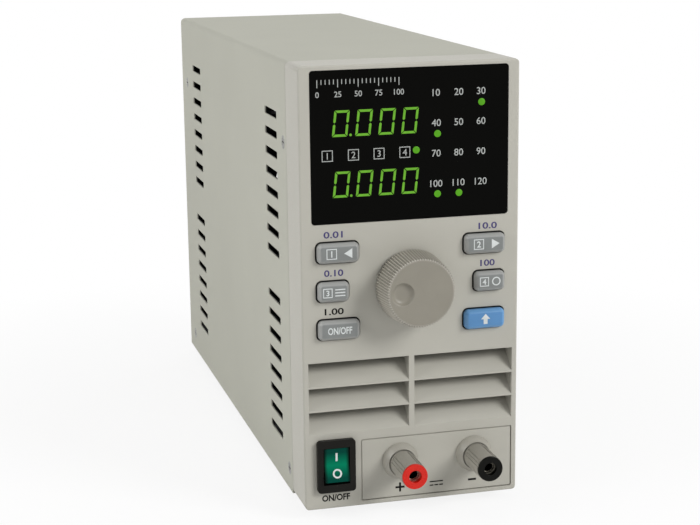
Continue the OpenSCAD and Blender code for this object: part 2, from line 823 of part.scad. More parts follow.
// Sheet cover over the top and both sides
module cover() {
    color(body_grey) place() difference() {
        along_y(cover_y, body_d - cover_y) arch(body_w, body_h, corner_r);
        translate([0, 0, -past]) along_y(cover_y - past, body_d - cover_y + 2 * past)
            arch(body_w - 2 * sheet_t, body_h - sheet_t + past, corner_r - sheet_t);
        for (y = [slot_front, body_d - slot_rear - slot_l], s = [-1, 1], i = [0:slot_n - 1])
            along_x(-body_w / 2 - past, body_w + 2 * past)
                translate([y + slot_l / 2, slot_mid_z + s * (slot_first + i * slot_pitch)])
                    rounded(slot_l, slot_h, slot_r);
        for (y = screw_ys, z = [screw_low_z, screw_high_z], s = [0, 1])
            mirror([s, 0, 0]) translate([body_w / 2 - sheet_t, y, z]) {
                rod_x(-past, 0, 0, screw_r + screw_gap, sheet_t + past);
                rotate([0, 90, 0])
                    cylinder(r1 = screw_r + screw_gap, r2 = screw_head_r + screw_gap, h = sheet_t);
                rod_x(sheet_t, 0, 0, screw_head_r + screw_gap, past);
            }
    }
}

// Cross for a screwdriver, along the depth, in a head of radius r
module cross_slot(r, depth) {
    for (a = [0, 90]) rotate([0, a, 0]) cube([r * cross_share, depth, cross_w], center = true);
}

// Countersunk screw with its head at x = 0 and its tip to the left
module flat_screw() {
    difference() {
        union() {
            translate([-sheet_t, 0, 0]) rotate([0, 90, 0])
                cylinder(r1 = screw_r, r2 = screw_head_r, h = sheet_t);
            rod_x(-screw_l, 0, 0, screw_r, screw_l - sheet_t);
        }
        rotate([0, 0, 90]) cross_slot(screw_head_r, sheet_t);
    }
}

module cover_screws() {
    color(steel) place()
        for (y = screw_ys, z = [screw_low_z, screw_high_z], s = [0, 1])
            mirror([s, 0, 0]) translate([body_w / 2, y, z]) flat_screw();
}

module base_pan() {
    color(body_grey) place() difference() {
        union() {
            translate([-in_x, bezel_d, 0]) cube([2 * in_x, panel_in - bezel_d, frame_t]);
            for (s = [0, 1]) mirror([s, 0, 0]) translate([in_x - frame_t, sub_back + fold_gap, 0])
                cube([frame_t, panel_in - sub_back - 2 * fold_gap, lip_h]);
        }
        for (y = screw_ys) rod_x(-in_x - past, y, screw_low_z, tap_r, 2 * in_x + 2 * past);
        for (s = [-1, 1], y = [foot_front, body_d - foot_rear])
            translate([s * (body_w / 2 - foot_in), y, -past])
                cylinder(r = foot_low_r / 2 + fit_gap, h = frame_t + 2 * past);
        for (s = [-1, 1], y = panel_screw_ys)
            translate([s * panel_screw_x, y, -past]) cylinder(r = tap_r, h = frame_t + 2 * past);
    }
}

module pan_screws() {
    color(steel) place()
        for (s = [-1, 1], y = panel_screw_ys) translate([s * panel_screw_x, y, 0]) {
            difference() {
                translate([0, 0, -small_head]) cylinder(r = screw_head_r, h = small_head);
                translate([0, 0, -small_head]) rotate([90, 0, 0]) cross_slot(screw_head_r, small_head);
            }
            cylinder(r = screw_r, h = 2 * frame_t + screw_tip);
        }
}

// Rubber feet with stems pushed into the pan
module feet() {
    color(dark) place()
        for (s = [-1, 1], y = [foot_front, body_d - foot_rear])
            translate([s * (body_w / 2 - foot_in), y, 0]) {
                translate([0, 0, -foot_h]) cylinder(r1 = foot_low_r, r2 = foot_r, h = foot_h);
                cylinder(r = foot_low_r / 2, h = foot_stem);
            }
}

// Flanges on both sides and below that a panel needs for its screws
module panel_flanges(y0, len) {
    for (s = [0, 1]) mirror([s, 0, 0])
        translate([in_x - frame_t, y0, flange_low]) cube([frame_t, len, in_top - flange_low - corner_r]);
    translate([-in_x + flange_side, y0, frame_t]) cube([2 * (in_x - flange_side), len, frame_t]);
}

module front_subpanel() {
    color(steel) place() difference() {
        union() {
            along_y(bezel_d, frame_t) translate([0, frame_t]) arch(2 * in_x, in_top - frame_t, corner_r);
            panel_flanges(sub_back - weld, flange_l + weld);
        }
        along_y(bezel_d - past, frame_t + 2 * past) {
            translate([switch_x - switch_body_w / 2 - cutout_gap, switch_z - switch_body_h / 2 - cutout_gap])
                square([plate_x1 - ledge - switch_x + switch_body_w / 2, switch_body_h + 2 * cutout_gap]);
            translate([-grille_w / 2 + ledge, grille_z]) square([grille_w - 2 * ledge, grille_h]);
            translate([-board_x + 2 * boss_r, key_zs[0]])
                square([2 * board_x - 4 * boss_r, window_z - key_zs[0]]);
        }
        for (p = bezel_posts) rod_y(p[0], bezel_d - past, p[1], small_r + screw_gap, frame_t + 2 * past);
        for (s = [-1, 1]) translate([s * panel_screw_x, panel_screw_ys[0], 0])
            cylinder(r = tap_r, h = 2 * frame_t + past);
        rod_x(-in_x - past, screw_ys[0], screw_high_z, tap_r, 2 * in_x + 2 * past);
    }
}

module rear_panel() {
    color(body_grey) place() difference() {
        union() {
            along_y(panel_in, frame_t) arch(2 * in_x, in_top, corner_r);
            panel_flanges(panel_in - flange_l, flange_l + weld);
        }
        rod_y(0, panel_in - past, fan_z, duct_r, frame_t + 2 * past);
        for (sx = [-1, 1], sz = [-1, 1])
            rod_y(sx * fan_pitch / 2, panel_in - past, fan_z + sz * fan_pitch / 2,
                fan_screw_r + screw_gap, frame_t + 2 * past);
        along_y(panel_in - past, frame_t + 2 * past) {
            translate([inlet_x, inlet_z])
                square([inlet_body_w + 2 * fit_gap, inlet_body_h + 2 * fit_gap], center = true);
            translate([-port_x, port_z])
                square([port_w + 2 * port_rim + 2 * fit_gap, port_h + 2 * port_rim + 2 * fit_gap],
                    center = true);
            translate([-port_x, selector_z])
                square([selector_w - 2 * selector_ear + 2 * fit_gap,
                    selector_h - 2 * selector_rim + 2 * fit_gap], center = true);
        }
        for (s = [-1, 1])
            rod_y(-port_x + s * jack_pitch / 2, panel_in - past, port_z, screw_r + screw_gap,
                frame_t + 2 * past);
        for (s = [-1, 1]) translate([s * panel_screw_x, panel_screw_ys[1], 0])
            cylinder(r = tap_r, h = 2 * frame_t + past);
        rod_x(-in_x - past, screw_ys[1], screw_high_z, tap_r, 2 * in_x + 2 * past);
    }
}

// Sloping blade of the grille with its front lip at height z
module blade(z) {
    rise = blade_d * tan(blade_deg);
    along_x(-grille_w / 2 - weld, grille_w + 2 * weld)
        polygon([[0, z], [0, z + blade_t], [blade_d, z + blade_t + rise], [blade_d, z + rise]]);
}

module front_bezel() {
    color(front_grey) place() {
        difference() {
            union() {
                difference() {
                    intersection() {
                        along_y(0, bezel_d) translate([0, body_h / 2]) rounded(body_w, body_h, corner_r);
                        along_x(-body_w / 2, body_w) soft_side(body_h);
                        linear_extrude(body_h) translate([-body_w / 2, 0]) mirror([1, -1])
                            soft_side(body_w);
                    }
                    along_y(front_wall, bezel_d) translate([0, body_h / 2])
                        rounded(body_w - 2 * bezel_wall, body_h - 2 * bezel_wall, corner_r / 2);
                    along_y(-past, front_wall + 2 * past) translate([-grille_w / 2, grille_z])
                        square([grille_w, grille_h]);
                }
                intersection() {
                    union() {
                        for (i = [0:blade_rows])
                            blade(grille_z + (i == 0 ? 0 : blade_low + (i - 1) * blade_step) - blade_t);
                        translate([-mullion_w / 2, 0, grille_z - weld])
                            cube([mullion_w, blade_d, grille_h + 2 * weld]);
                    }
                    translate([-body_w / 2, 0, grille_z - blade_t])
                        cube([body_w, blade_d, grille_h + blade_t + weld]);
                }
                for (p = bezel_posts)
                    rod_y(p[0], front_wall - weld, p[1], boss_r, bezel_d - front_wall + weld);
                for (p = board_posts)
                    rod_y(p[0], front_wall - weld, p[1], boss_r, board_y - front_wall + weld);
            }
            along_y(-past, window_back + past) translate([0, window_z])
                rounded(window_w, window_h, window_r);
            along_y(-past, front_wall + 2 * past) translate([0, window_z])
                rounded(window_w - 2 * ledge, window_h - 2 * ledge, window_r);
            for (k = keys) along_y(-past, front_wall + 2 * past) translate([k[0], k[1]])
                rounded(k[2] + 2 * key_gap, hole_h, key_r + key_gap);
            rod_y(0, -past, knob_z, bush_r + cap_gap, front_wall + 2 * past);
            along_y(-past, front_wall + 2 * past) translate([switch_x, switch_z])
                square([switch_body_w + 2 * fit_gap, switch_body_h + 2 * fit_gap], center = true);
            along_y(-past, plate_back + past) translate([plate_x, plate_z])
                rounded(plate_w, plate_h, plate_r);
            along_y(-past, front_wall + 2 * past) translate([plate_x, plate_z])
                rounded(plate_w - 2 * ledge, plate_h - 2 * ledge, plate_r);
            for (p = bezel_posts)
                rod_y(p[0], bezel_d / 2, p[1], small_r + screw_gap / 2, bezel_d);
            for (p = board_posts)
                rod_y(p[0], front_wall + boss_floor, p[1], small_r + screw_gap / 2, bezel_d);
        }
    }
}

// Pan-head screw along the depth, with its head behind y0
module small_screw(x, y0, z, len) {
    difference() {
        rod_y(x, y0, z, small_head_r, small_head);
        translate([x, y0 + small_head, z]) cross_slot(small_head_r, small_head);
    }
    rod_y(x, y0 - len, z, small_r, len);
}

module bezel_screws() {
    color(steel) place()
        for (p = bezel_posts) small_screw(p[0], sub_back, p[1], bezel_d / 2 - boss_floor);
}

module display_window() {
    color([0.04, 0.04, 0.05]) place()
        along_y(window_sink, window_t) translate([0, window_z])
            rounded(window_w - 2 * fit_gap, window_h - 2 * fit_gap, window_r - fit_gap);
}

module terminal_panel() {
    color(front_grey) place() difference() {
        union() {
            along_y(plate_sink, plate_t) translate([plate_x, plate_z])
                rounded(plate_w - 2 * plate_groove, plate_h - 2 * plate_groove, plate_r - plate_groove);
            along_y(plate_sink + plate_step, plate_t - plate_step) translate([plate_x, plate_z])
                rounded(plate_w - 2 * fit_gap, plate_h - 2 * fit_gap, plate_r - fit_gap);
        }
        for (x = post_xs) rod_y(x, -past, post_z, sleeve_r + screw_gap, plate_back + 2 * past);
    }
}

module display_board() {
    color(board_green) place() difference() {
        along_y(board_y, board_t) translate([-board_x, board_low])
            square([2 * board_x, body_h - board_top - board_low]);
        for (p = board_posts) rod_y(p[0], board_y - past, p[1], small_r + screw_gap, board_t + 2 * past);
    }
}

module board_screws() {
    color(steel) place()
        for (p = board_posts) small_screw(p[0], board_y + board_t, p[1], board_y - front_wall - boss_floor);
}

// Four-digit display module on the board
module digits(z) {
    along_y(board_y - module_t, module_t) translate([-module_x, z])
        square([module_l, module_h], center = true);
}

module upper_display() {
    color(dark) place() digits(upper_z);
}

module lower_display() {
    color(dark) place() digits(lower_z);
}

module indicator_leds() {
    color([0.35, 0.75, 0.35]) place() for (p = lamps) {
        rod_y(p[0], board_y - lamp_l + lamp_r, p[1], lamp_r, lamp_l - lamp_r);
        translate([p[0], board_y - lamp_l + lamp_r, p[1]]) sphere(lamp_r);
    }
}

module key_switches() {
    color(dark) place() for (k = keys) difference() {
        along_y(board_y - tact_h, tact_h) translate([k[0], k[1]]) square(tact_w, center = true);
        rod_y(k[0], board_y - tact_h - past, k[1], stem_r + stem_gap,
            past + stem_in + key_travel + stem_gap);
    }
}

module encoder_body() {
    color(steel) place() difference() {
        union() {
            along_y(board_y - encoder_h, encoder_h) translate([0, knob_z])
                square(encoder_w, center = true);
            rod_y(0, fold_gap, knob_z, bush_r, board_y - encoder_h - fold_gap + weld);
        }
        rod_y(0, -past, knob_z, shaft_r + shaft_gap, past + board_y - encoder_h + encoder_in);
    }
}

module encoder_shaft() {
    color(steel) place()
        rod_y(0, -knob_reach + knob_face, knob_z, shaft_r,
            knob_reach - knob_face + board_y - encoder_h + encoder_in - shaft_gap);
}

module knob() {
    ridged_l = knob_reach - knob_edge - knob_gap;
    ball_r = (dimple_r * dimple_r + dimple_d * dimple_d) / (2 * dimple_d);
    color(knob_grey) place() translate([0, -knob_gap, knob_z]) rotate([90, 0, 0]) difference() {
        union() {
            linear_extrude(ridged_l, scale = knob_front_r / knob_r)
                polygon([for (i = [0:2 * ridge_n - 1])
                    (knob_r - ridge_d * (i % 2)) * [cos(180 * i / ridge_n), sin(180 * i / ridge_n)]]);
            translate([0, 0, ridged_l - weld]) cylinder(r = knob_front_r - ridge_d, h = 2 * weld);
            translate([0, 0, ridged_l]) cylinder(r1 = knob_front_r - ridge_d / 2,
                r2 = knob_front_r - knob_edge, h = knob_edge);
        }
        difference() {
            translate([0, 0, -past])
                cylinder(r = knob_r - knob_wall, h = knob_reach - knob_gap - knob_face + past);
            cylinder(r = shaft_r + knob_wall, h = knob_reach);
        }
        translate([0, 0, -past])
            cylinder(r = shaft_r + shaft_gap / 2, h = knob_reach - knob_face - knob_gap + past + shaft_gap);
        translate([-dimple_x, 0, knob_reach - knob_gap - dimple_d + ball_r]) sphere(ball_r);
    }
}

// Push key with a rounded crown, a flange behind the front wall and a stem to its switch
module key(k) {
    back = front_wall + key_play;
    stem_end = board_y - tact_h + stem_in;
    color(k[0] > 0 && k[1] == key_zs[0] ? [0.18, 0.25, 0.50] : key_grey)
        place() translate([k[0], 0, k[1]]) {
            along_y(-key_reach + key_crown, key_reach - key_crown + back + weld) rounded(k[2], key_h, key_r);
            hull() {
                along_y(-key_reach + key_crown, weld) rounded(k[2], key_h, key_r, $fn = 32);
                along_y(-key_reach + key_crown / 3, weld)
                    rounded(k[2] - key_crown / 2, key_h - key_crown / 2, key_r - key_crown / 4, $fn = 32);
                along_y(-key_reach, weld)
                    rounded(k[2] - 2 * key_crown, key_h - 2 * key_crown, key_r - key_crown, $fn = 32);
            }
            along_y(back, key_flange_t)
                rounded(k[2] + 2 * key_gap + 2 * key_flange, hole_h + 2 * key_flange, key_r);
            rod_y(0, back, 0, stem_r, stem_end - back);
        }
}

module top_left_key() {
    key(keys[0]);
}

module mid_left_key() {
    key(keys[1]);
}

module low_left_key() {
    key(keys[2]);
}

module top_right_key() {
    key(keys[3]);
}

module mid_right_key() {
    key(keys[4]);
}

module low_right_key() {
    key(keys[5]);
}

module rocker_housing() {
    color(dark) place() translate([switch_x, 0, switch_z]) difference() {
        union() {
            along_y(-switch_lip, switch_lip) rounded(switch_w, switch_h, switch_r);
            along_y(-weld, switch_d + weld) square([switch_body_w, switch_body_h], center = true);
        }
        along_y(-switch_lip - past, switch_lip + past + rock_pivot + rock_room)
            square([rock_w + 2 * rock_gap, 2 * rock_swing + 2 * rock_gap], center = true);
        rod_x(-switch_body_w / 2 - past, rock_pivot, 0, rock_pin_r + rock_pin_gap,
            switch_body_w + 2 * past);
    }
}

// Rocker on two pins, stored with its upper half pressed in
module rocker() {
    color([0.10, 0.45, 0.22]) place()
        translate([switch_x, rock_pivot, switch_z]) rotate([-rock_deg, 0, 0]) {
            along_x(-rock_w / 2, rock_w) polygon([[-rock_end, -rock_half], [-rock_front, 0],
                [-rock_end, rock_half], [rock_skirt, rock_half - rock_taper], [rock_back, rock_heel],
                [rock_back, -rock_heel], [rock_skirt, rock_taper - rock_half]]);
            rod_x(-rock_w / 2 - rock_gap - switch_wall, 0, 0, rock_pin_r,
                rock_w + 2 * rock_gap + 2 * switch_wall);
        }
}

module rocker_blades() {
    color(brass) place() translate([switch_x, switch_d, switch_z])
        for (i = [-1:1]) translate([-contact_w / 2, 0, i * contact_pitch - contact_t / 2])
            cube([contact_w, blade_l, contact_t]);
}

module post_collars() {
    color(knob_grey) place() for (x = post_xs) difference() {
        union() {
            rod_y(x, -collar_foot, post_z, collar_r, collar_foot + plate_sink, shoulder_r);
            rod_y(x, -collar_reach, post_z, shoulder_r, collar_reach - collar_foot,
                shoulder_r - collar_shoulder);
            rod_y(x, 0, post_z, sleeve_r, plate_back);
        }
        rod_y(x, -collar_reach - past, post_z, stud_r + stud_gap / 2, collar_reach + plate_back + 2 * past);
    }
}

// Threaded studs with a plug socket in the front end
module post_studs() {
    color(brass) place() for (x = post_xs) difference() {
        rod_y(x, -stud_front, post_z, stud_r, stud_front + stud_back);
        rod_y(x, -stud_front - past, post_z, socket_r, socket_l + past);
    }
}

// Turning cap of a binding post
module post_cap(x) {
    color(knob_grey) place() difference() {
        rod_y(x, -cap_front, post_z, cap_r, cap_front - cap_back);
        rod_y(x, -cap_front - past, post_z, stud_r + stud_gap, cap_front);
        rod_y(x, -cap_front - past, post_z, ring_sleeve_r + stud_gap, past + ring_sleeve + stud_gap);
        for (i = [0:flute_n - 1], k = [-1:1])
            translate([x, -cap_front - past, post_z]) rotate([0, 30 + i * 360 / flute_n + k * flute_deg, 0])
                translate([cap_r - flute_d, 0, -flute_d])
                    cube([2 * flute_d, past + cap_front - cap_back - cap_foot, 2 * flute_d]);
    }
}

// Coloured end ring of a binding post
module post_ring(x, tint) {
    color(tint) place() difference() {
        union() {
            rod_y(x, -post_reach, post_z, cap_r - ring_step, ring_t - stud_gap);
            rod_y(x, -cap_front - weld, post_z, ring_sleeve_r, ring_sleeve + weld);
        }
        rod_y(x, -post_reach - past, post_z, ring_hole_r, post_reach);
    }
}

module positive_cap() {
    post_cap(post_xs[0]);
}

module positive_ring() {
    post_ring(post_xs[0], [0.80, 0.15, 0.12]);
}

module negative_cap() {
    post_cap(post_xs[1]);
}

module negative_ring() {
    post_ring(post_xs[1], dark);
}

// Nuts behind the plate and on both sides of each connecting bar
module post_nuts() {
    color(steel) place() for (x = post_xs, y = [plate_back, bar_y - nut_t, bar_y + bar_t]) difference() {
        hex_y(x, y, post_z, nut_w, nut_t);
        rod_y(x, y - past, post_z, stud_r + stud_gap / 2, nut_t + 2 * past);
    }
}

// Connecting bars from the studs up and back to the main board
module bus_bars() {
    color([0.72, 0.42, 0.25]) place() for (x = post_xs) difference() {
        along_x(x - bar_w / 2, bar_w) {
            translate([bar_y, post_z - bar_w / 2]) square([bar_t, main_top + bar_t - post_z + bar_w / 2]);
            translate([bar_y, main_top]) square([main_y + bar_over - bar_y, bar_t]);
        }
        rod_y(x, bar_y - past, post_z, stud_r + stud_gap / 2, bar_t + 2 * past);
    }
}

module main_board() {
    color(board_green) place()
        translate([-main_x, main_y, main_z]) cube([2 * main_x, main_l, board_t]);
}

module board_standoffs() {
    color(brass) place()
        for (s = [-1, 1], y = stand_ys)
            translate([s * (main_x - standoff_in), y, frame_t])
                cylinder(r = standoff_r, h = standoff_h, $fn = 6);
}

module heatsink() {
    color([0.35, 0.36, 0.38]) place() {
        translate([-sink_x, sink_front, sink_z]) cube([2 * sink_x, sink_l, sink_base]);
        fin_step = (2 * sink_x - fin_t) / (fin_n - 1);
        for (i = [0:fin_n - 1])
            translate([-sink_x + i * fin_step, sink_front, sink_z + sink_base - weld])
                cube([fin_t, sink_l, fin_h + weld]);
    }
}

module heatsink_standoffs() {
    color(brass) place()
        for (s = [-1, 1], y = [sink_front + standoff_in, sink_front + sink_l - standoff_in])
            translate([s * (sink_x - standoff_in), y, main_top])
                cylinder(r = standoff_r, h = sink_gap, $fn = 6);
}

// Transistors under the heat sink with their legs on the main board
module power_transistors() {
    color(dark) place()
        for (sx = [-1, 1], sy = [-1, 1])
            translate([(sx * (fet_w + fet_gap) - fet_w) / 2,
                sink_front + (sink_l + sy * (fet_l + fet_gap) - fet_l) / 2, 0]) {
                translate([0, 0, sink_z - fet_t]) cube([fet_w, fet_l, fet_t]);
                for (i = [1:3]) translate([i * fet_w / 4 - leg_w / 2, 0, main_top])
                    cube([leg_w, leg_t, sink_gap - fet_t / 2]);
            }
}

module filter_capacitors() {
    color([0.15, 0.16, 0.30]) place()
        for (i = [-1:1])
            translate([i * (2 * can_r + can_gap), can_y, main_top]) cylinder(r = can_r, h = can_h);
}

module transformer_core() {
    color([0.45, 0.45, 0.47]) place() difference() {
        translate([-core_x - core_w / 2, core_y, frame_t]) cube([core_w, core_t, core_h]);
        along_y(core_y - past, core_t + 2 * past)
            for (s = [-1, 1]) translate([-core_x + s * core_w / 4, frame_t + core_h / 2])
                square([core_w / 2 - 2 * limb, core_h - 2 * limb], center = true);
    }
}

module transformer_coil() {
    coil_w = core_w - 2 * limb - 2 * coil_gap;
    coil_h = core_h - 2 * limb - 2 * coil_gap;
    color([0.75, 0.68, 0.30]) place() translate([-core_x, core_y - coil_over, frame_t + core_h / 2])
        difference() {
            translate([-coil_w / 2, 0, -coil_h / 2]) cube([coil_w, core_t + 2 * coil_over, coil_h]);
            translate([-limb - coil_gap, coil_over - coil_gap, -core_h])
                cube([2 * limb + 2 * coil_gap, core_t + 2 * coil_gap, 2 * core_h]);
        }
}

module fan_frame() {
    color(dark) place() difference() {
        union() {
            difference() {
                along_y(fan_y, fan_t) translate([0, fan_z]) rounded(fan_w, fan_w, corner_r);
                rod_y(0, fan_y - past, fan_z, duct_r, fan_t + 2 * past);
            }
            rod_y(0, fan_y, fan_z, hub_r, hub_t);
            for (a = [45, 135]) translate([0, fan_y, fan_z]) rotate([0, a, 0])
                translate([-duct_r - weld, 0, -strut_w / 2])
                    cube([2 * duct_r + 2 * weld, strut_t, strut_w]);
        }
        rod_y(0, fan_y + hub_floor, fan_z, axle_r + axle_gap, fan_t);
        for (sx = [-1, 1], sz = [-1, 1])
            rod_y(sx * fan_pitch / 2, fan_y - past, fan_z + sz * fan_pitch / 2, fan_screw_r + screw_gap / 2,
                fan_t + 2 * past);
    }
}

module fan_rotor() {
    color([0.10, 0.10, 0.10]) place() translate([0, rotor_y, fan_z]) rotate([-90, 0, 0]) {
        cylinder(r = hub_r, h = rotor_t);
        translate([0, 0, fan_y + hub_floor + axle_gap - rotor_y])
            cylinder(r = axle_r, h = rotor_y - fan_y);
        for (i = [0:fan_blades - 1]) rotate([0, 0, i * 360 / fan_blades]) intersection() {
            translate([0, 0, vane_in]) cylinder(r = duct_r - tip_gap, h = rotor_t - 2 * vane_in);
            translate([hub_r / 2, 0, rotor_t / 2]) rotate([vane_deg, 0, 0])
                translate([0, -rotor_t, -vane_t / 2]) cube([duct_r, 2 * rotor_t, vane_t]);
        }
    }
}

// Wire finger guard with an eye at each corner
module fan_guard() {
    reach = fan_pitch / sqrt(2) - eye_r;
    color(steel) place() translate([0, guard_y, fan_z]) rotate([-90, 0, 0]) {
        for (a = [45, 135]) rotate([0, 0, a]) translate([-reach, 0, 0]) rotate([0, 90, 0])
            cylinder(r = wire_r, h = 2 * reach);
        for (i = [1:guard_n]) translate([0, 0, 2 * wire_r - weld]) rotate_extrude()
            translate([i * duct_r / guard_n - wire_r, 0]) circle(wire_r, $fn = 24);
        for (sx = [-1, 1], sz = [-1, 1]) translate([sx * fan_pitch / 2, sz * fan_pitch / 2, 0])
            rotate_extrude() translate([eye_r, 0]) circle(wire_r, $fn = 24);
    }
}

module fan_screws() {
    color(steel) place()
        for (sx = [-1, 1], sz = [-1, 1])
            translate([sx * fan_pitch / 2, panel_out + 2 * wire_r, fan_z + sz * fan_pitch / 2]) {
                difference() {
                    rod_y(0, 0, 0, eye_r + wire_r, small_head);
                    translate([0, small_head, 0]) cross_slot(eye_r, small_head);
                }
                rod_y(0, -frame_t - 2 * wire_r - fan_t / 2, 0, fan_screw_r, frame_t + 2 * wire_r + fan_t / 2);
            }
}

// Plug socket outline with two cut corners
module plug_shape(w, h) {
    cut = h / 4;
    polygon([[-w / 2, -h / 2], [w / 2, -h / 2], [w / 2, h / 2 - cut], [w / 2 - cut, h / 2],
        [cut - w / 2, h / 2], [-w / 2, h / 2 - cut]]);
}

module inlet_body() {
    color(dark) place() difference() {
        union() {
            along_y(panel_out, inlet_t) translate([inlet_x, inlet_z]) rounded(inlet_w, inlet_h, corner_r / 2);
            along_y(panel_out - inlet_d, inlet_d + weld) translate([inlet_x, inlet_z])
                square([inlet_body_w, inlet_body_h], center = true);
        }
        along_y(inlet_out - plug_d, plug_d + past) translate([inlet_x, plug_z]) plug_shape(plug_w, plug_h);
        along_y(inlet_out - drawer_d - drawer_gap, drawer_d + drawer_gap + past)
            translate([inlet_x, drawer_z])
                square([drawer_w + 2 * drawer_gap, drawer_h + 2 * drawer_gap], center = true);
    }
}

// Pins of the mains inlet, the middle one higher
module inlet_pins() {
    color(brass) place()
        for (i = [-1:1])
            translate([inlet_x + i * prong_pitch - prong_w / 2, inlet_out - plug_d,
                plug_z - prong_drop + (i == 0 ? prong_up : 0)]) cube([prong_w, plug_d - prong_sink, prong_h]);
}

module fuse_drawer() {
    color([0.08, 0.08, 0.08]) place() translate([inlet_x, 0, drawer_z]) difference() {
        union() {
            along_y(inlet_out - drawer_d, drawer_d) square([drawer_w, drawer_h], center = true);
            along_y(inlet_out - weld, grip + weld) translate([0, drawer_h / 4])
                square([drawer_w / 2, drawer_h / 4], center = true);
        }
        translate([-fuse_l / 2 - fit_gap, inlet_out - drawer_d + drawer_end, -fuse_r])
            cube([fuse_l + 2 * fit_gap, 2 * fuse_r + 2 * fit_gap, drawer_h]);
    }
}

module fuse() {
    color([0.85, 0.85, 0.82]) place()
        rod_x(inlet_x - fuse_l / 2, inlet_out - drawer_d + drawer_end + fuse_r + fit_gap,
            drawer_z + fit_gap / 2, fuse_r, fuse_l);
}

// Tapered outline of the serial port
module port_shape(w, h) {
    slope = h * tan(port_deg);
    polygon([[-w / 2 + slope, -h / 2], [w / 2 - slope, -h / 2], [w / 2, h / 2], [-w / 2, h / 2]]);
}

module serial_shell() {
    color(steel) place() translate([-port_x, 0, port_z]) difference() {
        union() {
            along_y(panel_out, port_t) rounded(jack_pitch + 2 * port_ear, port_flange_h, port_r);
            along_y(panel_out, port_reach) port_shape(port_w, port_h);
        }
        along_y(panel_out - past, port_reach + 2 * past) port_shape(port_w - 2 * port_t, port_h - 2 * port_t);
        for (s = [-1, 1])
            rod_y(s * jack_pitch / 2, panel_out - past, 0, screw_r + screw_gap, port_t + 2 * past);
    }
}

// Insulating block of the serial port with its nine contact holes
module serial_block() {
    color(dark) place() translate([-port_x, 0, port_z]) difference() {
        union() {
            along_y(panel_out - port_d, port_d)
                square([port_w + 2 * port_rim, port_h + 2 * port_rim], center = true);
            along_y(panel_out - weld, port_reach - port_t + weld)
                port_shape(port_w - 2 * port_t - 2 * fit_gap, port_h - 2 * port_t - 2 * fit_gap);
        }
        for (row = [[5, pin_row], [4, -pin_row]], i = [0:row[0] - 1])
            rod_y((i - (row[0] - 1) / 2) * pin_pitch, panel_out, row[1], pin_r, port_reach + past);
    }
}

module jack_screws() {
    color(steel) place()
        for (s = [-1, 1]) translate([-port_x + s * jack_pitch / 2, panel_out + port_t, port_z]) difference() {
            union() {
                hex_y(0, 0, 0, jack_w, jack_l);
                rod_y(0, -port_t - frame_t - jack_tip, 0, screw_r, port_t + frame_t + jack_tip + weld);
            }
            rod_y(0, 0, 0, jack_r, jack_l + past);
        }
}

module selector_body() {
    color(dark) place() translate([-port_x, 0, selector_z]) difference() {
        union() {
            along_y(panel_out, selector_t) rounded(selector_w, selector_h, selector_r);
            along_y(panel_out - selector_d, selector_d + weld)
                square([selector_w - 2 * selector_ear, selector_h - 2 * selector_rim], center = true);
        }
        along_y(panel_out - selector_d / 2, selector_d)
            square([slider_w + slider_run + 2 * slider_gap, slider_h + 2 * slider_gap], center = true);
    }
}

module selector_slider() {
    color([0.60, 0.10, 0.08]) place()
        translate([-port_x - slider_run / 2, 0, selector_z]) difference() {
            along_y(panel_out - selector_d / 2 + slider_gap / 2, selector_d / 2 + selector_t - slider_gap)
                square([slider_w, slider_h], center = true);
            along_y(panel_out, selector_d) square([slider_slot, slider_h / 2], center = true);
        }
}

cover();
cover_screws();
base_pan();
pan_screws();
feet();
front_subpanel();
rear_panel();
front_bezel();
bezel_screws();
display_window();
terminal_panel();
display_board();
board_screws();
upper_display();
lower_display();
indicator_leds();
key_switches();
encoder_body();
encoder_shaft();
knob();
top_left_key();
mid_left_key();
low_left_key();
top_right_key();
mid_right_key();
low_right_key();
rocker_housing();
rocker();
rocker_blades();
post_collars();
post_studs();
positive_cap();
positive_ring();
negative_cap();
negative_ring();
post_nuts();
bus_bars();
main_board();
board_standoffs();
heatsink();
heatsink_standoffs();
power_transistors();
filter_capacitors();
transformer_core();
transformer_coil();
fan_frame();
fan_rotor();
fan_guard();
fan_screws();
inlet_body();
inlet_pins();
fuse_drawer();
fuse();
serial_shell();
serial_block();
jack_screws();
selector_body();
selector_slider();
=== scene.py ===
"""Looks of a bench-top dc electronic load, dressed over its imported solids.

Places on the front are in millimetres: x to the right, y behind the front face, z above the underside.
"""
import math

import bmesh
import bpy
from mathutils import Matrix, Vector


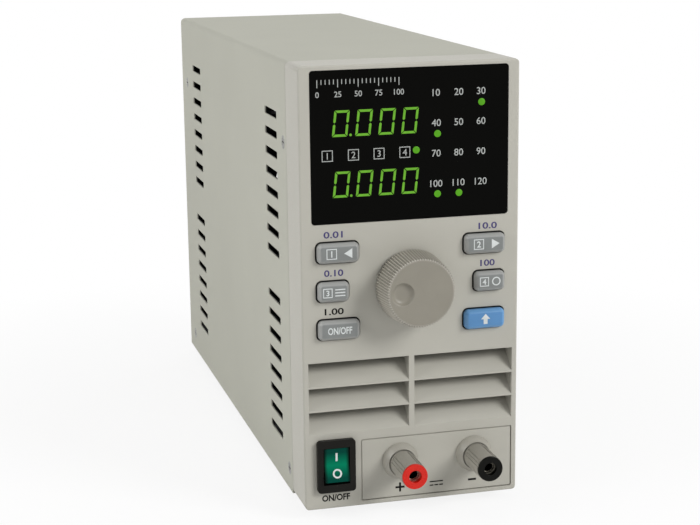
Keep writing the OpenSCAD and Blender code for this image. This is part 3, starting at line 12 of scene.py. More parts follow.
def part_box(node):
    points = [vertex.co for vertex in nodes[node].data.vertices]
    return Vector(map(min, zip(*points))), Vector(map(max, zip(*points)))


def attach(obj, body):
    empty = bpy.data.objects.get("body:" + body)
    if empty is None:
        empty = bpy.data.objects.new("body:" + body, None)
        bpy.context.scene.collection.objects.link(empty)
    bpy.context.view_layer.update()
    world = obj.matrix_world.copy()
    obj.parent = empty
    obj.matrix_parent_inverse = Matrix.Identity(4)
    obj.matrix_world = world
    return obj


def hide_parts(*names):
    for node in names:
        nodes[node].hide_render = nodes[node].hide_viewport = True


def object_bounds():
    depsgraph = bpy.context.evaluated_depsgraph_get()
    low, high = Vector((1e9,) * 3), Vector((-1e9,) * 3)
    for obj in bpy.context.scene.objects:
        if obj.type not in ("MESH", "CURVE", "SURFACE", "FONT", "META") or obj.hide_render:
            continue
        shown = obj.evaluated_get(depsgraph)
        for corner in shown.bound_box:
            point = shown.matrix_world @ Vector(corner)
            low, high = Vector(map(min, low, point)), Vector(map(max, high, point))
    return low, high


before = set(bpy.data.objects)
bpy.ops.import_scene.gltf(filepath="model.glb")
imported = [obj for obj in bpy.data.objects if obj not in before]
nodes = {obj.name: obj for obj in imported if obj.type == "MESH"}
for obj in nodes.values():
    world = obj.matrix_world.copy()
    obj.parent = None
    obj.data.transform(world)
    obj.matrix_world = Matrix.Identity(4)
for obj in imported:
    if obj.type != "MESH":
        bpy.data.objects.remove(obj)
cad_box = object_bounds()

MM = 0.001
FRONT_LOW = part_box("front_bezel")[0]
TO_ROW = Matrix.Translation((0, FRONT_LOW.y, FRONT_LOW.z)) @ Matrix.Scale(MM, 4)

# Camera, found from the corners of the case in the photograph
CAMERA_AT = (-184.44, -605.23, 237.69)
CAMERA_AIM = (-24.57, 0.0, 99.14)
CAMERA_ROLL = -0.70
CAMERA_LENS = 85.84

# Light: name, direction, size in metres and level of each lamp, a level being what a white surface
# that faces the lamp would show
SKY_LEVEL = 0.30
LIGHTS = (
    ("key_lamp", (0.76, -0.84, 0.62), 1.2, 0.63),
    ("top_lamp", (0.1, 0.4, 1.0), 1.4, 0.14),
    ("left_lamp", (-1.0, -0.14, 0.55), 1.6, 0.46),
)
LIGHT_DISTANCE = 3.0
LIGHT_AIM = (0, 0, 0.09)

# Floor in metres: its size, and where its shadow fades to the plain white of the background
FLOOR_RADIUS = 8.0
FLOOR_DROP = 0.0002
FLOOR_NEAR = 0.12
FLOOR_FAR = 0.32
FLOOR_GLOW = 0.86

# Usual reach of a noise value, and how far the gloss of a finish strays
NOISE_LOW = 0.3
NOISE_HIGH = 0.7
ROUGH_SPREAD = 0.06
ROUGH_LEAST = 0.02

# Softened edges: the angle in degrees from which an edge is rounded, and the steps of the rounding
SOFT_ANGLE = 40
SOFT_STEPS = 3

# A wave texture repeats every pi / (WAVE_RATE * scale)
WAVE_RATE = 10
BAND_RELIEF = 0.1
TRACK_SCALE = 60.0

# Printed marks stand this far out of a surface, and reach this far into it
PRINT_PROUD = 0.03
PRINT_SUNK = 0.02

# Folded cover: radius of the fold, and how deep the paint counts as outside
COVER_FOLD = 2.3
COVER_SKIN = 0.5
# Painted shade inside the cover: near black wherever the paint does not count as outside
INSIDE_SHADE = (0.01, 0.01, 0.01, 1)

# Cooling grille: its place, and the depths between which painted shade darkens its plastic
GRILLE_MIDDLE = 45.5
GRILLE_HALF_HIGH = 15.5
GRILLE_HALF_WIDE = 42.2
SHADE_NEAR = 5.0
SHADE_FAR = 9.6
GRILLE_SHADE = (0.11, 0.105, 0.09, 1)

# Keys
KEY_WIDE = 16.4
KEY_NARROW = 12.3
KEY_HEIGHT = 7.7
KEY_CORNER = 1.8
KEY_REACH = 3.0
# Rows up the side of a key: inset, drop behind its front, share of painted highlight on the edge, share of
# painted shade in the gap
KEY_SIDE = (
    (0.0, 3.2, 0.0, 1.0),
    (0.0, 2.6, 1.0, 0.0),
    (0.0, 1.4, 1.0, 0.0),
    (0.12, 1.12, 1.0, 0.0),
    (0.92, 0.22, 1.0, 0.0),
    (1.1, 0.06, 0.5, 0.0),
    (1.4, 0.0, 0.0, 0.0),
)
# Painted highlight on the edges of the keys, and painted shade in the gap where a key's side goes into the
# front
KEY_EDGE_HIGHLIGHT = (0.31, 0.315, 0.305, 1)
BLUE_EDGE_HIGHLIGHT = (0.12, 0.3, 0.56, 1)
KEY_GAP_SHADE = (0.004, 0.004, 0.004, 1)
KEY_RIM = 1.6
KEY_RIM_Y = 3.1
KEY_RIM_THICK = 1.2
STEM_RADIUS = 1.7
STEM_END = 7.8
STEM_STEPS = 24
KEY_SHARP = 50

# Marks on the keys, about the middle of a key
MARK_LINE = 0.32
BOX_FIGURE = 0.6
WIDE_BOX_X = -2.9
WIDE_BOX_SIDE = 4.1
NARROW_BOX_X = -2.6
NARROW_BOX_SIDE = 3.7
LEFT_ARROW = ((2.0, 0), (5.2, -1.9), (5.2, 1.9))
RIGHT_ARROW = ((2.4, -1.9), (5.6, 0), (2.4, 1.9))
LIST_LEFT = 0.3
LIST_RIGHT = 4.3
LIST_ROWS = (-1.2, 0.0, 1.2)
LIST_HALF = 0.22
RING_X = 2.3
RING_OUTER = 1.75
RING_INNER = 1.3
KEY_WORD_HIGH = 2.8
KEY_WORD_WIDE = 9.6
UP_HEAD = ((-1.9, 0.1), (1.9, 0.1), (0, 2.2))
UP_STEM = (-0.8, -1.9, 0.8, 0.1)

# Figures above the keys: text, middle and width
LABEL_HIGH = 2.6
BLUE_LABELS = (
    ("0.01", -31.1, 110.4, 7.6),
    ("0.10", -31.1, 95.4, 7.6),
    ("10.0", 31.3, 110.2, 7.6),
    ("100", 31.3, 95.3, 6.0),
)
BLACK_LABEL = ("1.00", -31.1, 80.2, 7.6)

# Knob
KNOB_BACK = 0.8
KNOB_REACH = 13.8
KNOB_BASE_RADIUS = 14.8
KNOB_FRONT_RADIUS = 13.7
KNOB_EDGE = 0.6
KNOB_FOOT = 0.3
KNOB_STEPS = 6
KNOB_RINGS = 32
KNOB_SHARP = 60
KNOB_COLOUR = (0.247, 0.23, 0.188)
# Painted light on the ridged side: a painted highlight on the crests, and the grooves painted darker than
# the crests though still paler than the face
KNOB_CREST_HIGHLIGHT = (0.47, 0.448, 0.395, 1)
KNOB_GROOVE_LIGHT = (0.29, 0.272, 0.236, 1)
RIDGES = 80
RIDGE_DEPTH = 0.55
RIDGE_STEPS = 6
DIMPLE_X = -7.4
DIMPLE_RADIUS = 4.4
DIMPLE_DEPTH = 1.5
DIMPLE_CURVE = 6

# Display
WINDOW_Y = 0.2
DIGIT_HIGH = 10.0
DIGIT_WIDE = 6.0
DIGIT_BAR = 0.92
DIGIT_GAP = 0.2
DIGIT_LEAN = 0.115
DIGIT_PITCH = 9.08
DIGIT_LEFT = -31.0
DIGIT_ROWS = (147.9, 124.6)
DIGITS = 4
POINT_X = -23.7
POINT_UP = 0.55
POINT_RADIUS = 0.5
POINT_STEPS = 20
LAMP_RADIUS = 1.38
LAMP_RISE = 0.2
LIT_LAMPS = ((28.6, 158.8), (10.8, 147.3), (2.26, 141.4), (10.8, 123.9), (19.5, 123.9))
LEGEND_COLUMNS = (10.3, 19.35, 28.4)
LEGEND_ROWS = (163.1, 151.5, 139.75, 127.95)
LEGEND_HIGH = 2.7
LEGEND_BOLD = 0.004
LEGEND_STEP = 10
CELL_BOXES = (-32.9, -22.65, -12.55, -2.3)
CELL_Z = 140.75
CELL_SIDE = 4.3
CELL_LINE = 0.3
CELL_FIGURE = 2.5
SCALE_LEFT = -36.5
SCALE_TOP = 169.6
SCALE_PITCH = 1.6
SCALE_TICKS = 21
SCALE_GROUP = 5
SCALE_LONG = 3.0
SCALE_SHORT = 1.8
SCALE_HALF_LINE = 0.15
SCALE_FIGURE_Z = 164.0
SCALE_FIGURE_HIGH = 2.2
SCALE_FIGURE_STEP = 25

# Power switch: reach of its clear part, dark sides and glow about its middle, and its marks
ROCKER_CLEAR = 3.7
ROCKER_DARK = 5.0
ROCKER_GLOW = 5.0
ROCKER_FACE = (0.001, 0.056, 0.039, 1)
ROCKER_SIDE = (0.002, 0.008, 0.006, 1)
ROCKER_LIGHT = (0.0, 0.14, 0.06, 1)
ROCKER_UNLIT = (0.0, 0.0, 0.0, 1)
ON_HALF = 0.4
ON_LOW = 20.1
ON_HIGH = 23.4
ON_Y = -1.56
OFF_OUTER = 1.85
OFF_INNER = 1.2
OFF_Y = -2.62
OFF_Z = 15.25
OFF_TILT = -18
SWITCH_WORD_X = -31.4
SWITCH_WORD_Z = 4.5
SWITCH_WORD_HIGH = 2.7
SWITCH_WORD_WIDE = 11.4
SWITCH_WORD_BOLD = 0.035

# Terminals, and the bars of their signs: left, low, right and high
SOCKET_RADIUS = 2.1
SOCKET_LIP = 0.4
# Painted shade down inside the plug sockets
SOCKET_SHADE = (0.02, 0.018, 0.015, 1)
PLUS_BARS = ((-6.9, 5.55, -3.1, 6.4), (-5.4, 6.4, -4.55, 7.9), (-5.4, 4.05, -4.55, 5.55))
MINUS_BAR = (23.6, 5.7, 27.0, 6.55)
DIRECT_BAR = (7.4, 6.6, 13.0, 7.1)
DASH_LEFTS = (7.4, 9.4, 11.4)
DASH_WIDE = 1.6
DASH_LOW = 5.1
DASH_HIGH = 5.6
PLATE_Y = 0.2
PLATE_BACK = 1.8
COLLAR_RADIUS = 7.3
COLLAR_FRONT = 5.7
COLLAR_FOOT = 0.6
COLLAR_REACH = 3.5
COLLAR_LIP = 0.2
COLLAR_GROOVE = 0.7
COLLAR_BORE = 3.03
COLLAR_SLEEVE = 4.6
COLLAR_STEPS = 8
COLLAR_CURVE = 1.4
COLLAR_SHARP = 40


def linear(red, green, blue):
    """Linear colour of an 8-bit one."""
    shares = [c / 255 for c in (red, green, blue)]
    return [s / 12.92 if s <= 0.04045 else ((s + 0.055) / 1.055) ** 2.4 for s in shares] + [1.0]


def middle_of(box):
    """Middle of a box, from its two corners."""
    return (box[0] + box[1]) / 2


def toned(colour, share):
    """A colour, darker or lighter."""
    return [min(1.0, c * share) for c in colour[:3]] + [1.0]


# Shader helpers

def noise(tree, size, detail=3.0, stretch=(1, 1, 1)):
    """Noise over the object's own coordinates, with features about size millimetres across."""
    place = tree.nodes.new("ShaderNodeTexCoord")
    scale = tree.nodes.new("ShaderNodeMapping")
    scale.inputs["Scale"].default_value = [s / (size * MM) for s in stretch]
    made = tree.nodes.new("ShaderNodeTexNoise")
    made.inputs["Scale"].default_value = 1.0
    made.inputs["Detail"].default_value = detail
    tree.links.new(place.outputs["Object"], scale.inputs["Vector"])
    tree.links.new(scale.outputs["Vector"], made.inputs["Vector"])
    return made.outputs["Fac"]


def shades(tree, value, dark, light, low=NOISE_LOW, high=NOISE_HIGH):
    """Colour that goes from dark to light as a value goes from low to high."""
    ramp = tree.nodes.new("ShaderNodeValToRGB")
    first, last = ramp.color_ramp.elements
    first.position = low
    first.color = dark
    last.position = high
    last.color = light
    tree.links.new(value, ramp.inputs["Fac"])
    return ramp.outputs["Color"]


def spread(tree, value, low, high):
    """A noise value, mapped from its usual reach to a range from low to high."""
    made = tree.nodes.new("ShaderNodeMapRange")
    made.inputs["From Min"].default_value = NOISE_LOW
    made.inputs["From Max"].default_value = NOISE_HIGH
    made.inputs["To Min"].default_value = low
    made.inputs["To Max"].default_value = high
    tree.links.new(value, made.inputs["Value"])
    return made.outputs["Result"]


def relief(tree, height, shader, depth):
    """Bump of a height field, depth millimetres deep."""
    bump = tree.nodes.new("ShaderNodeBump")
    bump.inputs["Distance"].default_value = depth * MM
    tree.links.new(height, bump.inputs["Height"])
    tree.links.new(bump.outputs["Normal"], shader.inputs["Normal"])


def math_node(tree, kind, first, second):
    """A sum over two values, each a socket or a number."""
    made = tree.nodes.new("ShaderNodeMath")
    made.operation = kind
    for socket, value in zip(made.inputs, (first, second)):
        if isinstance(value, (int, float)):
            socket.default_value = value
        else:
            tree.links.new(value, socket)
    return made.outputs["Value"]


def fading(tree, value, near, far):
    """1 up to the near value, and down to 0 at the far one."""
    made = tree.nodes.new("ShaderNodeMapRange")
    made.inputs["From Min"].default_value = near
    made.inputs["From Max"].default_value = far
    made.inputs["To Min"].default_value = 1.0
    made.inputs["To Max"].default_value = 0.0
    tree.links.new(value, made.inputs["Value"])
    return made.outputs["Result"]


def blend(material, share, colour):
    """Lays a second colour over a material's own, by a share from 0 to 1."""
    tree = material.node_tree
    shader = tree.nodes["Principled BSDF"]
    mix = tree.nodes.new("ShaderNodeMix")
    mix.data_type = "RGBA"
    tree.links.new(share, mix.inputs[0])
    tree.links.new(shader.inputs["Base Color"].links[0].from_socket, mix.inputs[6])
    mix.inputs[7].default_value = colour
    tree.links.new(mix.outputs[2], shader.inputs["Base Color"])


def marked(material, name, colour):
    """Lays a colour where a share is written on the points of a mesh."""
    share = material.node_tree.nodes.new("ShaderNodeAttribute")
    share.attribute_name = name
    blend(material, share.outputs["Fac"], colour)


def axes_of(tree):
    """The object's own x, y and z."""
    place = tree.nodes.new("ShaderNodeTexCoord")
    axes = tree.nodes.new("ShaderNodeSeparateXYZ")
    tree.links.new(place.outputs["Object"], axes.inputs["Vector"])
    return [axes.outputs[name] for name in ("X", "Y", "Z")]


def past(tree, value, limit):
    """How far a value goes past a limit, or nought."""
    return math_node(tree, "MAXIMUM", math_node(tree, "SUBTRACT", value, limit), 0.0)


def away_from(tree, value, centre):
    """How far a value lies from a centre, to either side."""
    return math_node(tree, "ABSOLUTE", math_node(tree, "SUBTRACT", value, centre), 0.0)


def product(tree, first, *others):
    """Several values multiplied."""
    for other in others:
        first = math_node(tree, "MULTIPLY", first, other)
    return first


def length(tree, one, two):
    """Length across two values at right angles."""
    total = math_node(tree, "ADD", product(tree, one, one), product(tree, two, two))
    return math_node(tree, "SQRT", total, 0.0)


def finish(name, colour, rough, patch=25, tone=0.04, grain=0.5, deep=0.01, stretch=(1, 1, 1), **sockets):
    """Procedural finish: faint patches in the colour, and a fine grain in the gloss and the relief."""
    made = bpy.data.materials.new(name)
    made.use_nodes = True
    tree = made.node_tree
    shader = tree.nodes["Principled BSDF"]
    patches = noise(tree, patch, stretch=stretch)
    tree.links.new(shades(tree, patches, toned(colour, 1 - tone), toned(colour, 1 + tone)),
                   shader.inputs["Base Color"])
    fine = noise(tree, grain, stretch=stretch)
    least = max(ROUGH_LEAST, rough - ROUGH_SPREAD)
    tree.links.new(spread(tree, fine, least, rough + ROUGH_SPREAD), shader.inputs["Roughness"])
    relief(tree, fine, shader, deep)
    for socket, value in sockets.items():
        shader.inputs[socket.replace("_", " ")].default_value = value
    return made


# Finishes

def case_paint():
    """Baked grey paint outside, and painted shade, near black, inside the folded sheet."""
    made = finish("case_paint", (0.475, 0.474, 0.412), 0.7, patch=60, tone=0.02, grain=0.7, deep=0.008,
                  Specular_IOR_Level=0.12)
    tree = made.node_tree
    low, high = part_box("cover")
    fold = COVER_FOLD * MM
    skin = COVER_SKIN * MM
    x, y, z = axes_of(tree)
    beside = past(tree, away_from(tree, x, 0.0), high.x - fold)
    over = past(tree, z, high.z - fold)
    within = math_node(tree, "LESS_THAN", length(tree, beside, over), fold - skin)
    ahead = math_node(tree, "LESS_THAN", y, high.y - 2 * skin)
    above = math_node(tree, "GREATER_THAN", z, low.z + skin)
    # Painted shade laid over the inside of the folded sheet
    blend(made, product(tree, within, ahead, above), INSIDE_SHADE)
    return made


def front_plastic():
    """Moulded front, with painted shade deep between the cooling blades."""
    made = finish("front_plastic", (0.436, 0.424, 0.372), 0.48, patch=40, tone=0.02, grain=0.6, deep=0.012)
    tree = made.node_tree
    x, y, z = axes_of(tree)
    near = TO_ROW @ Vector((0, SHADE_NEAR, GRILLE_MIDDLE))
    far = TO_ROW @ Vector((0, SHADE_FAR, GRILLE_MIDDLE))
    half_wide = GRILLE_HALF_WIDE * MM
    half_high = GRILLE_HALF_HIGH * MM
    deep = fading(tree, y, far.y, near.y)
    within = fading(tree, away_from(tree, x, 0.0), half_wide, half_wide + MM)
    level = fading(tree, away_from(tree, z, near.z), half_high, half_high + MM)
    # Painted shade deep in the grille openings
    blend(made, product(tree, deep, within, level), GRILLE_SHADE)
    return made


def key_finish(name, colour, edge):
    """Moulded key, with a painted highlight on its soft edges and painted shade where its side goes into
    the front.
    """
    made = finish(name, colour, 0.4, patch=8, tone=0.05, grain=0.4)
    marked(made, "edge", edge)
    marked(made, "gap", KEY_GAP_SHADE)
    return made


def window_tint():
    """Dark polished panel in front of the display."""
    return finish("window", (0.0014, 0.0014, 0.001), 0.14, patch=30, tone=0.1, grain=1.0, deep=0.001,
                  Specular_IOR_Level=0.04)


def glowing(name, colour, level):
    """Lit plastic, a little uneven."""
    made = finish(name, toned(colour, 0.05), 0.35, patch=2, tone=0.1, Specular_IOR_Level=0.1)
    tree = made.node_tree
    shader = tree.nodes["Principled BSDF"]
    cloudy = noise(tree, 1.5)
    tree.links.new(shades(tree, cloudy, toned(colour, 0.9), toned(colour, 1.1)),
                   shader.inputs["Emission Color"])
    shader.inputs["Emission Strength"].default_value = level
    return made


def rocker_green():
    """Clear green rocker, lit a little from behind its middle and dark along its sides."""
    made = finish("green_rocker", ROCKER_FACE, 0.2, patch=6, tone=0.15, grain=1.0, deep=0.004,
                  Specular_IOR_Level=0.03)
    tree = made.node_tree
    shader = tree.nodes["Principled BSDF"]
    centre = middle_of(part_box("rocker"))
    x, _, z = axes_of(tree)
    clear = fading(tree, away_from(tree, x, centre.x), ROCKER_CLEAR * MM, ROCKER_DARK * MM)
    lit = product(tree, clear, fading(tree, away_from(tree, z, centre.z), 0.0, ROCKER_GLOW * MM))
    colour = shades(tree, clear, ROCKER_SIDE, ROCKER_FACE, 0.0, 1.0)
    tree.links.new(colour, shader.inputs["Base Color"])
    glow = shades(tree, lit, ROCKER_UNLIT, ROCKER_LIGHT, 0.0, 1.0)
    tree.links.new(glow, shader.inputs["Emission Color"])
    shader.inputs["Emission Strength"].default_value = 1.0
    return made


def socket_brass():
    """Plated brass thread, with painted shade down inside the plug sockets."""
    made = banded("plated_brass", (0.62, 0.58, 0.47, 1), (0.72, 0.68, 0.57, 1), 1.0, "Y", 0.28,
                  Metallic=1.0)
    tree = made.node_tree
    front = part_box("post_studs")[0].y
    one, two = (middle_of(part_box(name)) for name in ("positive_ring", "negative_ring"))
    x, y, z = axes_of(tree)
    across = away_from(tree, x, (one.x + two.x) / 2)
    beside = math_node(tree, "SUBTRACT", across, abs(one.x - two.x) / 2)
    over = math_node(tree, "SUBTRACT", z, one.z)
    inside = math_node(tree, "LESS_THAN", length(tree, beside, over), SOCKET_RADIUS * MM)
    deep = math_node(tree, "GREATER_THAN", y, front + SOCKET_LIP * MM)
    blend(made, product(tree, inside, deep), SOCKET_SHADE)
    return made


def board_green():
    """Solder mask with paler tracks under it."""
    made = finish("circuit_board", (0.01, 0.07, 0.03), 0.3, patch=8, tone=0.2)
    tree = made.node_tree
    shader = tree.nodes["Principled BSDF"]
    place = tree.nodes.new("ShaderNodeTexCoord")
    tracks = tree.nodes.new("ShaderNodeTexBrick")
    tracks.inputs["Scale"].default_value = TRACK_SCALE
    tracks.inputs["Color1"].default_value = (0.008, 0.06, 0.025, 1)
    tracks.inputs["Color2"].default_value = (0.012, 0.08, 0.035, 1)
    tracks.inputs["Mortar"].default_value = (0.03, 0.14, 0.06, 1)
    tree.links.new(place.outputs["Object"], tracks.inputs["Vector"])
    tree.links.new(tracks.outputs["Color"], shader.inputs["Base Color"])
    return made


def banded(name, colour, second, pitch, axis, rough, **sockets):
    """Layers along one axis: wound tape, stacked sheets or a cut thread."""
    made = finish(name, colour, rough, patch=10, tone=0.08, **sockets)
    tree = made.node_tree
    shader = tree.nodes["Principled BSDF"]
    place = tree.nodes.new("ShaderNodeTexCoord")
    wave = tree.nodes.new("ShaderNodeTexWave")
    wave.bands_direction = axis
    wave.inputs["Scale"].default_value = math.pi / (WAVE_RATE * pitch * MM)
    tree.links.new(place.outputs["Object"], wave.inputs["Vector"])
    tree.links.new(shades(tree, wave.outputs["Fac"], colour, second, 0.2, 0.8), shader.inputs["Base Color"])
    relief(tree, wave.outputs["Fac"], shader, BAND_RELIEF)
    return made


PAINT = case_paint()
FRONT_PLASTIC = front_plastic()
POST_PLASTIC = finish("post_plastic", (0.34, 0.326, 0.282), 0.42, patch=6, tone=0.04)
CAP_PLASTIC = finish("cap_plastic", (0.29, 0.275, 0.236), 0.5, patch=6, tone=0.04)
KEY_PLASTIC = key_finish("key_plastic", (0.19, 0.201, 0.196), KEY_EDGE_HIGHLIGHT)
BLUE_PLASTIC = key_finish("blue_key_plastic", (0.08, 0.236, 0.48), BLUE_EDGE_HIGHLIGHT)
BLACK_PLASTIC = finish("black_plastic", (0.008, 0.0075, 0.006), 0.36, patch=10, tone=0.2,
                       Specular_IOR_Level=0.12)
FAN_PLASTIC = finish("fan_plastic", (0.01, 0.01, 0.01), 0.7, patch=10, tone=0.2, Specular_IOR_Level=0.02)
RED_PLASTIC = finish("red_ring", (0.62, 0.019, 0.011), 0.3, patch=5, tone=0.06, Specular_IOR_Level=0.2)
BLACK_RING = finish("black_ring", (0.005, 0.005, 0.004), 0.22, patch=5, tone=0.2, Specular_IOR_Level=0.09)
RUBBER = finish("foot_rubber", (0.02, 0.02, 0.02), 0.75, patch=6, tone=0.25, grain=0.3, deep=0.03)
WINDOW = window_tint()
ROCKER_GREEN = rocker_green()
BRIGHT_STEEL = finish("plated_steel", (0.66, 0.66, 0.64), 0.26, patch=4, tone=0.08, Metallic=1.0)
SCREW_STEEL = finish("screw_steel", (0.22, 0.22, 0.2), 0.3, patch=1, tone=0.3, Metallic=1.0)
SHEET_STEEL = finish("sheet_steel", (0.03, 0.03, 0.03), 0.5, patch=15, tone=0.15)
BRASS = socket_brass()
COPPER = finish("copper", (0.6, 0.3, 0.17), 0.35, patch=8, tone=0.15, Metallic=1.0)
ALUMINIUM = finish("sink_aluminium", (0.03, 0.03, 0.032), 0.42, patch=2, tone=0.1, grain=0.4,
                   stretch=(1, 0.05, 1))
EPOXY = finish("black_epoxy", (0.02, 0.02, 0.02), 0.5, patch=4, tone=0.3)
SLEEVE = finish("capacitor_sleeve", (0.02, 0.025, 0.08), 0.3, patch=10, tone=0.15)
CORE = banded("core_steel", (0.14, 0.14, 0.15, 1), (0.24, 0.24, 0.25, 1), 0.5, "Z", 0.45, Metallic=0.6)
TAPE = banded("winding_tape", (0.46, 0.36, 0.06, 1), (0.56, 0.46, 0.1, 1), 6.0, "Z", 0.35)
GLASS = finish("fuse_glass", (0.8, 0.82, 0.8), 0.08, patch=5, tone=0.02, Transmission_Weight=0.9)
BOARD = board_green()
MODULE = finish("display_module", (0.012, 0.012, 0.012), 0.3, patch=6, tone=0.2)
LAMP_BODY = finish("lamp_green", (0.1, 0.35, 0.12), 0.2, patch=2, tone=0.1)
LIT_DIGIT = glowing("lit_digit", linear(104, 169, 49), 1.0)
LIT_LAMP = glowing("lit_lamp", linear(84, 158, 30), 1.0)
WHITE_PRINT = finish("white_print", linear(208, 212, 211), 0.55, patch=2, tone=0.05)
WINDOW_PRINT = finish("window_print", linear(172, 175, 172), 0.55, patch=2, tone=0.05,
                      Specular_IOR_Level=0.1)
BLACK_PRINT = finish("black_print", linear(20, 18, 16), 0.6, patch=2, tone=0.15, Specular_IOR_Level=0.15)
BLUE_PRINT = finish("blue_print", linear(72, 66, 112), 0.6, patch=2, tone=0.08, Specular_IOR_Level=0.2)

NODE_FINISH = (
    (PAINT, ("cover", "base_pan", "rear_panel")),
    (FRONT_PLASTIC, ("front_bezel", "terminal_panel")),
    (POST_PLASTIC, ("post_collars",)),
    (CAP_PLASTIC, ("positive_cap", "negative_cap")),
    (BLACK_PLASTIC, ("rocker_housing", "inlet_body", "fuse_drawer", "selector_body", "serial_block",
                     "key_switches")),
    (FAN_PLASTIC, ("fan_frame", "fan_rotor")),
    (RED_PLASTIC, ("positive_ring", "selector_slider")),
    (BLACK_RING, ("negative_ring",)),
    (RUBBER, ("feet",)),
    (WINDOW, ("display_window",)),
    (ROCKER_GREEN, ("rocker",)),
    (SCREW_STEEL, ("cover_screws",)),
    (BRIGHT_STEEL, ("pan_screws", "bezel_screws", "board_screws", "fan_screws", "fan_guard",
                    "serial_shell", "jack_screws", "encoder_shaft", "encoder_body", "board_standoffs",
                    "heatsink_standoffs")),
    (SHEET_STEEL, ("front_subpanel",)),
    (BRASS, ("post_studs", "post_nuts", "inlet_pins", "rocker_blades")),
    (COPPER, ("bus_bars",)),
    (ALUMINIUM, ("heatsink",)),
    (EPOXY, ("power_transistors",)),
    (SLEEVE, ("filter_capacitors",)),
    (CORE, ("transformer_core",)),
    (TAPE, ("transformer_coil",)),
    (GLASS, ("fuse",)),
    (BOARD, ("display_board", "main_board")),
    (MODULE, ("upper_display", "lower_display")),
    (LAMP_BODY, ("indicator_leds",)),
)

# Radius in millimetres of the softened edges of each node that shows
NODE_EDGES = (
    (0.25, ("front_bezel", "fan_frame", "inlet_body", "fuse_drawer")),
    (0.15, ("terminal_panel", "positive_cap", "negative_cap", "positive_ring", "negative_ring",
            "selector_body", "selector_slider")),
    (0.4, ("rocker_housing", "feet")),
    (1.2, ("rocker",)),
    (0.1, ("rear_panel", "cover_screws", "serial_shell")),
)


def dress_nodes():
    """Gives each CAD node its finish, and softens the edges that show."""
    for material, names in NODE_FINISH:
        for name in names:
            node = nodes[name]
            node.data.materials.clear()
            node.data.materials.append(material)
    for radius, names in NODE_EDGES:
        for name in names:
            soften(nodes[name], radius)


def soften(node, radius):
    """Narrow rounding on a node's sharp edges, as a modifier."""
    weld = node.modifiers.new("weld", "WELD")
    weld.merge_threshold = 0.001 * MM
    bevel = node.modifiers.new("soft_edge", "BEVEL")
    bevel.width = radius * MM
    bevel.segments = SOFT_STEPS
    bevel.limit_method = "ANGLE"
    bevel.angle_limit = math.radians(SOFT_ANGLE)
    bevel.harden_normals = True


# Flat marks, drawn as thin plates that face the front

def plate(bm, points):
    """Thin plate over a convex outline of (x, z) points, counter-clockwise from the front."""
    front = [bm.verts.new((x, -PRINT_PROUD, z)) for x, z in points]
    back = [bm.verts.new((x, PRINT_SUNK, z)) for x, z in points]
    bm.faces.new(front)
    bm.faces.new(back[::-1])
    for i in range(len(points)):
        j = (i + 1) % len(points)
        bm.faces.new((front[j], front[i], back[i], back[j]))


def bar(bm, x0, z0, x1, z1):
    """Upright rectangle."""
    plate(bm, [(x0, z0), (x1, z0), (x1, z1), (x0, z1)])


def frame_box(bm, x, z, side, line):
    """Square outline."""
    half = side / 2
    bar(bm, x - half, z - half, x + half, z - half + line)
    bar(bm, x - half, z + half - line, x + half, z + half)
    bar(bm, x - half, z - half + line, x - half + line, z + half - line)
    bar(bm, x + half - line, z - half + line, x + half, z + half - line)


def loop_rows(bm, rows):
    """Joins rows of points in turn, the last to the first, with quads."""
    made = [[bm.verts.new(p) for p in row] for row in rows]
    for one, two in zip(made, made[1:] + made[:1]):
        join_rows(bm, one, two)


def join_rows(bm, one, two):
    """Quads between two closed rows of points."""
    for i in range(len(one)):
        j = (i + 1) % len(one)
        bm.faces.new((one[i], one[j], two[j], two[i]))


def circle(x, y, z, radius, steps):
    """Points on an upright circle that faces the front."""
    turns = [2 * math.pi * i / steps for i in range(steps)]
    return [(x + radius * math.cos(t), y, z + radius * math.sin(t)) for t in turns]


def ring(bm, x, z, outer, inner, steps=40):
    """Flat ring."""
    sides = ((outer, PRINT_SUNK), (outer, -PRINT_PROUD), (inner, -PRINT_PROUD), (inner, PRINT_SUNK))
    loop_rows(bm, [circle(x, y, z, radius, steps) for radius, y in sides])


def word(bm, text, x, z, height, width=None, bold=0.02):
    """Plain figures or letters with their middle at (x, z)."""
    curve = bpy.data.curves.new("figures", "FONT")
    curve.body = text
    curve.extrude = 1.0
    curve.offset = bold
    curve.resolution_u = 4
    holder = bpy.data.objects.new("figures", curve)
    mesh = bpy.data.meshes.new_from_object(holder)
    across = [v.co.x for v in mesh.vertices]
    up = [v.co.y for v in mesh.vertices]
    tall = height / (max(up) - min(up))
    wide = width / (max(across) - min(across)) if width else tall
    middle_x = (max(across) + min(across)) / 2
    middle_z = (max(up) + min(up)) / 2
    for v in mesh.vertices:
        y = -PRINT_PROUD if v.co.z > 0 else PRINT_SUNK
        v.co = (x + (v.co.x - middle_x) * wide, y, z + (v.co.y - middle_z) * tall)
    bm.from_mesh(mesh)
    bpy.data.meshes.remove(mesh)
    bpy.data.objects.remove(holder)
    bpy.data.curves.remove(curve)


def dome(bm, x, z, radius, rise, rows=4, steps=32):
    """Shallow round cap on a surface."""
    last = [bm.verts.new(p) for p in circle(x, PRINT_SUNK, z, radius, steps)]
    for i in range(rows):
        turn = math.pi / 2 * i / rows
        points = circle(x, -PRINT_PROUD - rise * math.sin(turn), z, radius * math.cos(turn), steps)
        row = [bm.verts.new(p) for p in points]
        join_rows(bm, last, row)
        last = row
    bm.faces.new(last)


